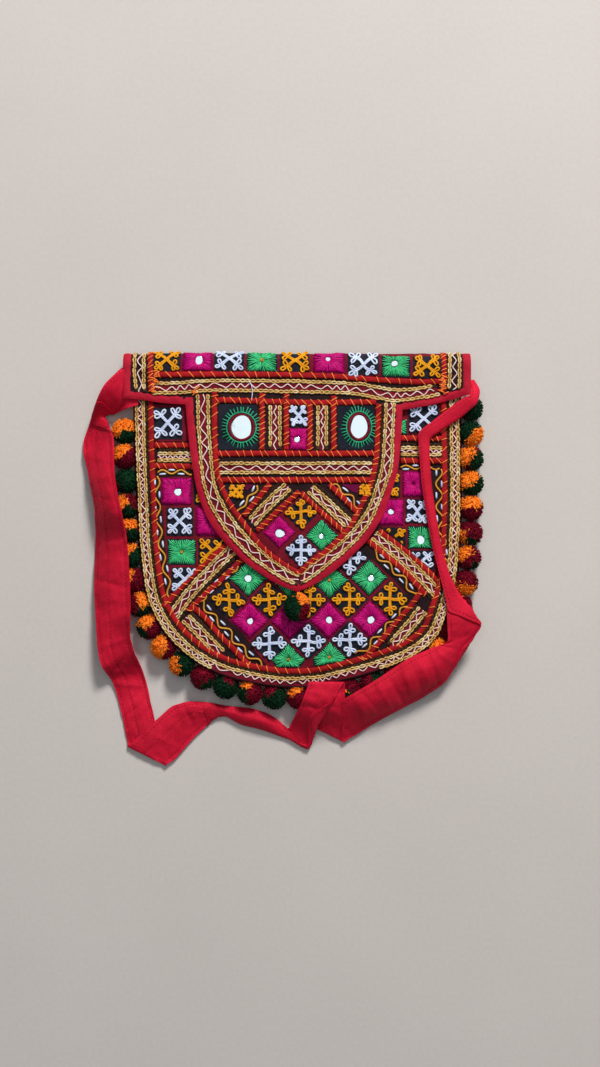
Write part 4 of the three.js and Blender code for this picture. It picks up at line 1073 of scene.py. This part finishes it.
def clip_polygon(outline, keep):
    """The part of a convex outline inside a convex one that runs against the clock or with it."""
    keep = np.array(keep, dtype=float)
    area = np.sum(keep[:, 0] * np.roll(keep[:, 1], -1) - keep[:, 1] * np.roll(keep[:, 0], -1))
    if area < 0:
        keep = keep[::-1]
    result = [np.array(p, dtype=float) for p in outline]
    for a, b in zip(keep, np.roll(keep, -1, axis=0)):
        source, result = result, []
        for p, q in zip(source, source[1:] + source[:1]):
            side_p = (b[0] - a[0]) * (p[1] - a[1]) - (b[1] - a[1]) * (p[0] - a[0])
            side_q = (b[0] - a[0]) * (q[1] - a[1]) - (b[1] - a[1]) * (q[0] - a[0])
            if side_p >= 0:
                result.append(p)
            if (side_p > 0) != (side_q > 0) and side_p != side_q:
                result.append(p + (q - p) * side_p / (side_p - side_q))
        if len(result) < 3:
            return []
    return np.array(result)


def square(left, right, top, bottom):
    return [(left, top), (right, top), (right, bottom), (left, bottom)]


def diamond(x, y, half, tilt=0.0):
    turn = [math.radians(tilt + 90 * k) for k in range(4)]
    return [(x + half * math.cos(a), y + half * math.sin(a)) for a in turn]


FLAP_MIRRORS = [f"mirror_{k:02d}" for k in range(1, 7)]
FRONT_MIRRORS = [f"mirror_{k:02d}" for k in range(7, 15)]
front = Stitcher(on_front, False, 501, FRONT_MIRRORS)

# Border of the front: a braid at the edge, a swinging thread, a braid and a piping
whole = body_edge[(body_edge[:, 1] < BODY_TOP - 6)]
BORDER = {"outer": 1.9, "thread": 4.6, "inner": 7.5, "shade": 10.6, "piping": 13.9}
border = {name: resample(offset_line(whole, inset), 1.2) for name, inset in BORDER.items()}
bottom = border["outer"][:, 1] > -128
front.patch(np.vstack([offset_line(whole, 1.0), offset_line(whole, 8.2)[::-1]]), 0.2, 1)
first_foot = int(np.argmin(bottom))
last_foot = len(bottom) - int(np.argmin(bottom[::-1]))
front.braid(line=border["outer"][:first_foot])
front.braid(line=border["outer"][last_foot:])
front.braid(line=border["inner"])
front.shade(line=border["shade"])
front.zigzag(line=border["thread"], period=9.0, swing=1.9)
front.piping(None, line=border["piping"], pitch=10.5)

# Bands and pipings across the sides, and the diagonals
COLUMN_PIPING = [[(154, 445), (190, 445)], [(153, 465.5), (192, 466.5)], [(401, 438), (444, 438)], [(401, 460.5), (444, 460.5)]]
for points in COLUMN_PIPING:
    front.piping(points, 8.5, bend=False)
front.band([(157, 456.7), (192, 456.7)], 6.6, period=7, swing=1.4)
front.band([(401, 451), (444, 451)], 6.6, period=8, swing=1.4)

LEFT_DIAGONAL = [(230, 541), (197, 570.5), (163, 607)]
LEFT_BAND = [(237, 545), (214, 567), (191, 592), (172, 617)]
LEFT_LOWER = [(246, 555), (224, 577), (204, 595), (188, 611)]
RIGHT_DIAGONAL = [(379, 531), (400, 546.5), (414, 558), (427, 570), (441, 584)]
RIGHT_BAND = [(374, 535), (400, 556), (417, 572), (440, 596)]
RIGHT_LOWER = [(366, 539), (385, 555), (400, 567), (412, 579), (426, 595)]
for points in (LEFT_DIAGONAL, LEFT_LOWER, RIGHT_DIAGONAL, RIGHT_LOWER):
    front.piping(points, 8.5)
front.band(LEFT_BAND, 8.6, period=15, swing=1.9)
front.band(RIGHT_BAND, 8.0, period=15, swing=1.9)

# Lower bands, between the pipings that meet at the body's bottom
front.piping([(190, 605), (204, 617), (218, 634), (232, 648), (250, 667)], 9)
front.band([(185, 618), (198, 631), (211, 644.5), (221, 655)], 8.2, period=15, swing=1.8)
front.piping([(421, 592), (411, 606), (395, 624), (381, 641), (364, 659)], 8.5)
front.band([(423, 610), (411, 625), (400, 637.5), (391, 648)], 8.0, period=13, swing=1.9)

# Fields of cells, each on a maroon ground
LEFT_FIELD = px([(159, 477), (232, 475), (232, 535), (221, 541), (196, 566), (173, 592), (169, 590), (166, 560)])
RIGHT_FIELD = px([(380, 470), (431, 470), (434, 520), (437, 575), (426, 563), (413, 552), (398, 541), (380, 527)])
CENTRE_FIELD = px([
    (262, 560), (236, 576), (214, 599), (226, 618), (243, 634), (256, 652), (268, 668), (300, 669), (347, 663),
    (361, 646), (376, 628), (396, 608), (407, 594), (392, 578), (374, 561), (352, 552),
])
TOP_LEFT_FIELD = px([(153, 404), (188, 404), (188, 441), (153, 441)])
TOP_RIGHT_FIELD = px([(398, 402), (443, 402), (443, 434), (398, 434)])
for field in (LEFT_FIELD, RIGHT_FIELD, CENTRE_FIELD, TOP_LEFT_FIELD, TOP_RIGHT_FIELD):
    front.patch(field, 0.25, 1)

LEFT_CELLS = [
    ("magenta", square(160.6, 191.5, 477.5, 505)), ("yellow", square(193.5, 224, 477.5, 504.5)),
    ("white", square(166, 193, 507.5, 536)), ("magenta", square(195.5, 224, 506.5, 536)),
    ("green", square(167, 196, 539, 565)), ("yellow", square(198, 226, 538.5, 565)),
    ("white", square(171, 198, 567.5, 593)),
]
RIGHT_CELLS = [
    ("yellow", square(374, 400.5, 472, 497)), ("magenta", square(402.5, 425, 471, 497)),
    ("magenta", square(378, 404, 499, 525.5)), ("white", square(406, 429, 499, 523)),
    ("yellow", square(380, 406, 527.5, 550)), ("green", square(408, 433.5, 526, 548.5)),
    ("white", square(410, 434.5, 550.5, 574)),
]
for kind, corners in LEFT_CELLS:
    front.cell(px(corners), kind, clip=clip_polygon(px(square(159, 230, 470, 600)), px([(159, 470), (240, 470), (240, 527), (170, 596), (159, 596)])))
for kind, corners in RIGHT_CELLS:
    front.cell(px(corners), kind, clip=px([(372, 470), (436, 470), (436, 573), (372, 519)]))
front.cell(px(square(153, 182, 407, 439)), "white")
front.cell(px(square(409, 440, 405, 433)), "white")
front.cell(px(square(390, 407.5, 419, 434)), "green")

HALF = 19.3
CENTRE_CELLS = [
    ("green", 248, 578.5), ("green", 289, 579), ("green", 329.5, 580), ("green", 369, 577.5), ("white", 349, 557.5),
    ("yellow", 228.5, 600), ("yellow", 269, 600), ("yellow", 309, 600), ("yellow", 349, 599.5), ("yellow", 390.5, 599),
    ("magenta", 249.5, 620.5), ("magenta", 289.5, 621), ("magenta", 328.5, 620.5), ("magenta", 370, 619.5),
    ("white", 269.5, 643), ("white", 309, 641), ("white", 349.5, 640),
]
for kind, x, y in CENTRE_CELLS:
    front.cell(px(diamond(x, y, HALF)), kind, clip=px([(150, 500), (450, 500), (450, 668), (150, 671)]))
front.cell(px([(288.5, 643.5), (306, 660), (300, 668), (276, 668), (271, 660)]), "green")
front.cell(px([(330, 641.5), (347, 657.5), (344, 662), (314, 667), (312, 659)]), "green")

# Tan waves with white running stitches, on the black beside the fields
front.wave([(157, 472.5), (170, 471.5), (192, 472.5)], swing=2.2, period=19)
front.wave([(156.5, 476), (157, 500), (158.5, 525), (161, 550), (166, 575), (170, 597)], swing=2.6, period=25, start=0.0)
front.wave([(401, 467.5), (420, 467), (440, 467.5)], swing=2.0, period=20)
front.wave([(439.5, 469), (439.5, 490), (440, 515), (443, 540), (446, 566)], swing=3.2, period=23, start=0.1)
front.wave([(238, 566), (222, 579), (208, 592), (199.5, 602)], swing=2.6, period=21)
front.wave([(201, 602), (214, 618), (228, 632), (242, 649), (263, 667)], swing=3.0, period=21, start=0.3)
front.wave([(372, 550), (388, 565), (404, 580), (415, 597)], swing=2.8, period=21, start=0.2)
front.wave([(413, 601), (402, 612), (386, 629), (372, 643), (357, 656)], swing=3.2, period=21, start=0.1)

front.finish("front", ["front_piping"])

flap = Stitcher(on_flap, True, 601, FLAP_MIRRORS)

# Band: a row of nine cells, whose top runs over the fold
flap.patch(unroll(px([(152, 351), (152, 372), (300, 372.5), (340, 373.5), (380, 376.5), (442, 379), (442, 351)])), 0.25, 1)
ROW = [
    ("yellow", 152.5, 180.5, 371), ("magenta", 182, 212.5, 371), ("white", 214, 244.5, 371), ("green", 246.5, 277.5, 372),
    ("yellow", 279.5, 309.5, 372.3), ("magenta", 313, 345.5, 373), ("white", 347.5, 379.5, 375), ("green", 381.5, 410.5, 377.5),
    ("yellow", 413, 441.5, 378),
]
for kind, left, right, foot in ROW:
    corners = unroll(px(square(left, right, 360, foot)))
    corners[:2, 1] = corners[2:, 1] + 18.5
    flap.cell(corners, kind)

# Border at the band's two sides
for xs, kind in (((134.6, 134.6, 136.2), "braid"), ((143.8, 143.6, 144.4), "braid"), ((139.4, 139.4, 140.4), "zigzag")):
    getattr(flap, kind)([(xs[0], 351), (xs[1], 375), (xs[2], 392)])
for xs, kind in (((450.2, 449.8, 448.8), "braid"), ((459.6, 459.4, 458.6), "braid"), ((454.8, 454.6, 453.6), "zigzag")):
    getattr(flap, kind)([(xs[0], 352), (xs[1], 375), (xs[2], 390)])
flap.piping([(150, 351), (150.3, 372), (151.3, 392)], 4.5)
flap.piping([(444, 353), (444, 372), (443.5, 391)], 4.0)
flap.piping([(153, 374.6), (200, 374.3), (255, 374.4), (300, 375), (340, 376.6), (380, 380), (420, 382), (442, 381)], 11)

# Crowded orange stitches where the pipings meet
for low_x, high_x, top_y, foot_y in ((151.5, 157.5, 371, 392), (440.5, 446.5, 376, 393), (193, 198, 388, 394)):
    count = 16 if high_x - low_x > 5.5 else 6
    x = flap.rng.uniform(low_x, high_x, count)
    y = np.linspace(top_y, foot_y, count)
    half = flap.rng.uniform(2.0, 3.4, count)
    lean = flap.rng.uniform(-0.5, 1.1, count)
    share = np.linspace(-1, 1, 5)
    course = px(np.column_stack([
        (x[:, None] + half[:, None] * share * np.cos(lean)[:, None]).ravel(),
        (y[:, None] - half[:, None] * share * np.sin(lean)[:, None]).ravel(),
    ]))
    course = unroll(course).reshape(count, 5, 2)
    x, y = course[..., 0], course[..., 1]
    rise = 0.9 + 1.1 * (1 - share**2) + flap.rng.uniform(0, 0.5, (count, 1))
    flap.cords.tubes(flap.place(x, y, rise), facing(flap.place, x, y), 0.5, 1, 5, 0.8)

# Long band under the row
upper = [(154, 383), (172, 383.3), (190, 382), (212, 380.8), (255, 381), (300, 381.6), (340, 383.2), (362, 384.4), (378, 387.6), (393, 390), (412, 389.3), (436, 385.5)]
lower = [(152, 393), (172, 393), (192, 392), (212, 390.6), (255, 390.8), (300, 392), (340, 392.6), (362, 395), (379, 398.6), (395, 400.6), (412, 399), (440, 394.5)]
flap.patch(np.vstack([flap.line(upper), flap.line(lower)[::-1]]), 0.25, 1)
flap.braid(upper)
flap.braid(lower)
flap.zigzag([(152, 388.6), (172, 388.4), (190, 387), (212, 385.6), (255, 385.8), (300, 386.6), (340, 388), (362, 390.2), (379, 393.2), (395, 395.4), (412, 394.2), (434, 390.5)], period=12, swing=2.0, round_off=0.7)

# Border of the tongue
TONGUE_OUTER = [(197.6, 394.5), (198, 404), (198.6, 425), (200.5, 450), (203, 478), (210, 502), (222, 523), (235, 540), (250, 555), (265, 566.5), (283, 578), (298, 584.5)]
TONGUE_INNER = [(208, 394.5), (208, 404), (208.6, 425), (210.4, 450), (213, 478), (218, 495), (230, 516), (243, 533), (258, 548), (272, 560), (287, 570), (299, 576)]
RIGHT_OUTER = [(394.5, 403), (393.5, 410), (392.5, 430), (391, 465), (386, 482), (380, 498), (372, 517), (360, 535), (345, 550), (330, 562), (314, 575), (300, 584)]
RIGHT_INNER = [(386.3, 403), (385.8, 410), (385, 430), (382.4, 465), (376, 489), (368, 510), (352, 532), (338, 545), (320, 558), (307, 568.5), (299.5, 575)]
for outer, inner, period, inward in ((TONGUE_OUTER, TONGUE_INNER, 17, 1), (RIGHT_OUTER, RIGHT_INNER, 15, -1)):
    outer, inner = flap.line(outer), flap.line(inner)
    inner_even = resample(inner, lengths(inner)[-1] / (len(outer) - 1))[: len(outer)]
    outer_even = resample(outer, lengths(outer)[-1] / (len(inner_even) - 1))[: len(inner_even)]
    flap.patch(np.vstack([outer, inner[::-1]]), 0.25, 1)
    flap.braid(line=outer)
    flap.braid(line=inner)
    flap.shade(line=beside(inner, 2.9 * inward))
    flap.zigzag(line=(outer_even + inner_even) / 2, period=period, swing=2.4)
LEFT_PIPING = [(214.6, 392), (214.6, 425), (215.6, 455), (217.6, 474), (224, 492), (232, 507.5), (240.5, 519), (250, 532), (260, 545), (272, 556), (285, 565), (298.5, 573)]
RIGHT_PIPING = [(378.5, 404), (377.6, 425), (376.6, 452), (374, 470), (369, 489), (361, 505), (351, 525), (339, 539), (325, 552), (311, 562), (298.5, 573)]
flap.piping(LEFT_PIPING, 10.5)
flap.piping(RIGHT_PIPING, 7.5)

# Pipings and bands across the tongue
flap.piping([(212, 399.8), (260, 401.3), (300, 402.6), (340, 402.6), (376, 402.2)], 8)
flap.piping([(217, 454), (260, 453.6), (320, 453.8), (374, 453.6)], 8)
flap.piping([(219, 480), (260, 480.2), (320, 480.2), (371, 480)], 7.5)
flap.patch(px(square(219, 373, 463, 473)), 0.25, 1)
flap.braid([(219, 463.8), (372, 463.4)])
flap.braid([(219, 472.8), (371, 472.6)])
flap.zigzag([(219, 468.2), (372, 468)], period=13, swing=2.0, round_off=0.8)
for x, top, foot, pitch in ((262, 393.5, 450, 5.5), (286.2, 394, 450, 6), (309.8, 404, 450, 5.5), (333.6, 396, 450, 6)):
    flap.piping([(x, top), (x, foot)], pitch)
for left, right, swing in ((270.4, 279.8, 1.7), (317.8, 326.2, 1.5)):
    flap.patch(px(square(left, right, 405, 450)), 0.25, 1)
    flap.braid([(left, 405.5), (left, 450)])
    flap.braid([(right, 405.5), (right, 450)])
    flap.zigzag([((left + right) / 2, 405.5), ((left + right) / 2, 450)], period=13, swing=swing)
flap.cell(px(square(289.8, 306.5, 405, 427)), "white")
flap.cell(px(square(289.4, 307.4, 428, 450.5)), "magenta")

# Foot of the tongue: two slanting bands that meet, and four diamonds under them
TONGUE_FIELD = px([(299, 497), (262, 529), (252, 534), (266, 547), (281, 559), (298.5, 569), (316, 557), (333, 543), (348, 528), (338, 526)])
flap.patch(TONGUE_FIELD, 0.25, 1)
flap.piping([(270, 484), (257, 500), (244, 516)], 7)
flap.piping([(329, 484.5), (345, 500), (359, 514.5)], 7)
flap.piping([(299.5, 491.5), (278, 511), (257, 531)], 6.5)
flap.piping([(301, 493), (322, 513), (345, 533)], 6.5)
flap.band([(288, 486.5), (270, 503), (251.5, 523)], 7.6, period=13, swing=1.7)
flap.band([(310, 489), (330, 507), (350, 525.5)], 7.6, period=13, swing=1.7)
flap.wave([(257, 485.5), (252, 496), (243, 505), (239, 513)], swing=2.4, period=19)
flap.wave([(331, 485.5), (343, 491), (352, 500), (361, 509)], swing=3.0, period=19)
CORNER_CELLS = [
    ("yellow", [(223, 485), (243, 485), (243, 490), (232, 505), (229, 503)]),
    ("magenta", [(244.5, 484.5), (254, 484.5), (246, 492)]),
    ("magenta", [(342, 484.5), (360, 484.5), (358, 493), (353, 492)]),
    ("yellow", [(361.5, 484.5), (369, 484.5), (364.5, 497), (361, 495)]),
]
for kind, corners in CORNER_CELLS:
    flap.patch(px(corners), 0.45, 2 if kind == "magenta" else 0)
for x, y, half in ((236.5, 490.5, 8.5), (365, 489.5, 6.5)):
    flap.knot(px(diamond(x, y, half * 1.3, 45)), 1, px(square(x - 9, x + 9, 484.5, 504)), 0.45)
FIELD_CLIP = px([(300, 496), (250, 540), (298.5, 571), (349, 530)])
for kind, x, y in (("yellow", 301, 513.5), ("magenta", 279.5, 532), ("green", 321.5, 535.5), ("white", 300.5, 550.5)):
    flap.cell(px(diamond(x, y, 17)), kind)

# A loose end of white thread
loose = np.column_stack([flap.line([(248, 381), (251, 384), (252.5, 392), (251.5, 401)], 1.0)])
flap.thread(flap.threads, loose, 1.9 + 0.4 * np.sin(np.linspace(0, 3, len(loose))), 0.36, 0)

# Large mirrors, each in a stitched maroon ring with green spikes round it, on a black square
LARGE_MIRRORS = {"mirror_left": square(218.5, 257.5, 404.5, 449.5), "mirror_right": square(337.5, 374, 404.5, 449.5)}
GLASS_RADIUS = {"mirror_left": (9.3, 9.6), "mirror_right": (7.4, 9.8)}
RING_WIDTH = 2.6
SPIKES = 35
turn = np.linspace(0, 2 * math.pi, 61)
for node, corners in LARGE_MIRRORS.items():
    flap.patch(px(corners), 0.35, 0)
    low, high = (np.array(corner[:2]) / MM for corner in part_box(node))
    centre, glass = (low + high) / 2, np.array(GLASS_RADIUS[node])
    middle = np.column_stack([np.cos(turn), np.sin(turn)])
    flap.thread(flap.fills, centre + middle * (glass + RING_WIDTH / 2), 0.95, RING_WIDTH / 2, 3, 7, 0.75)
    flap.thread(flap.fills, centre + middle * (glass + RING_WIDTH + 0.8), 1.2, 0.62, 2, 6)
    a = 2 * math.pi * (np.arange(SPIKES) + flap.rng.uniform(-0.2, 0.2, SPIKES)) / SPIKES
    way = np.column_stack([np.cos(a), np.sin(a)])[:, None, :]
    near = glass + RING_WIDTH + 0.3
    far = near + flap.rng.uniform(4.4, 6.4, SPIKES)[:, None]
    share = np.linspace(0, 1, 5)[None, :, None]
    course = centre + way * (near * (1 - share) + far[:, None, :] * share)
    x, y = course[..., 0], course[..., 1]
    rise = np.array([1.3, 1.25, 1.0, 0.75, 0.3]) + 0 * x
    flap.fills.tubes(flap.place(x, y, rise), facing(flap.place, x, y), 0.52, 2, 5, 0.8)


def glass_disc(heap, stitcher, centre, radii, height, rng):
    """Glass of a slightly uneven outline, a little rounded at its rim."""
    turn = np.linspace(0, 2 * math.pi, 28, endpoint=False)
    uneven = 1 + 0.05 * np.sin(2 * turn + rng.uniform(0, 6)) + 0.04 * np.sin(3 * turn + rng.uniform(0, 6))
    outline = np.column_stack([np.cos(turn), np.sin(turn)]) * np.array(radii) * uneven[:, None]
    middle = stitcher.place(np.array([centre[0]]), np.array([centre[1]]), 0.0)[0]
    normal = facing(stitcher.place, np.array([centre[0]]), np.array([centre[1]]))[0] + rng.normal(0, 0.012, 3)
    normal[1] *= 0.2
    normal /= np.linalg.norm(normal)
    right = np.cross([0, 1.0, 0], normal)
    right /= np.linalg.norm(right)
    upward = np.cross(normal, right)
    rings = []
    for share, drop in ((0.9, 0.0), (1.0, 0.12), (1.02, 0.5)):
        flat = outline * share
        rings.append(middle + right * flat[:, :1] + upward * flat[:, 1:] + normal * (height - drop))
    count = len(turn)
    index = np.arange(3 * count).reshape(3, count)
    faces = [index[0].tolist(), index[2][::-1].tolist()]
    for inner, outer in ((0, 1), (1, 2)):
        faces += [[index[outer, k], index[outer, (k + 1) % count], index[inner, (k + 1) % count], index[inner, k]] for k in range(count)]
    heap.add(np.vstack(rings), [[int(k) for k in face] for face in faces])


large, small = Heap(), Heap()
for node, radii in GLASS_RADIUS.items():
    low, high = (np.array(corner[:2]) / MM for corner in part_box(node))
    glass_disc(large, flap, (low + high) / 2, radii, 0.9, flap.rng)
for stitcher in (flap, front):
    for centre, radius in stitcher.mirrors:
        shape = radius * stitcher.rng.uniform(0.72, 0.96, 2)
        glass_disc(small, stitcher, centre, shape, 1.35, stitcher.rng)
large.make("large_mirrors", [GLASS], "mirror", list(GLASS_RADIUS), smooth_angle=12)
small.make("small_mirrors", [GLASS], "mirror", FLAP_MIRRORS + FRONT_MIRRORS, smooth_angle=12)
flap.finish("flap", ["band_piping", "tongue_piping"])


# Floor and soft studio light
bpy.ops.mesh.primitive_plane_add(size=6)
floor = bpy.context.object
floor.name = "floor"
floor.data.materials.append(material("pale_floor", (206, 200, 196), (200, 194, 190), 0.7, 0, mottle=6, fleck=300, bump=0.05))


def lamp(name, place, size, power, colour):
    light = bpy.data.objects.new(name, bpy.data.lights.new(name, "AREA"))
    light.data.shape = "RECTANGLE"
    light.data.size, light.data.size_y = size
    light.data.energy = power
    light.data.color = colour
    light.location = place
    light.rotation_euler = (Vector((0, 0, 0)) - Vector(place)).to_track_quat("-Z", "Y").to_euler()
    bpy.context.scene.collection.objects.link(light)


lamp("key", (0.9, 2.7, 2.2), (0.8, 0.8), 142, (1.0, 0.97, 0.93))
lamp("panel", (0.0, 0.25, 1.9), (1.5, 1.5), 6.8, (0.96, 0.98, 1.0))
bpy.context.scene.view_settings.view_transform = "Standard"
world = bpy.data.worlds.new("studio")
bpy.context.scene.world = world
world.use_nodes = True
world.node_tree.nodes["Background"].inputs["Color"].default_value = (0.9, 0.94, 1.0, 1.0)
world.node_tree.nodes["Background"].inputs["Strength"].default_value = 0.18
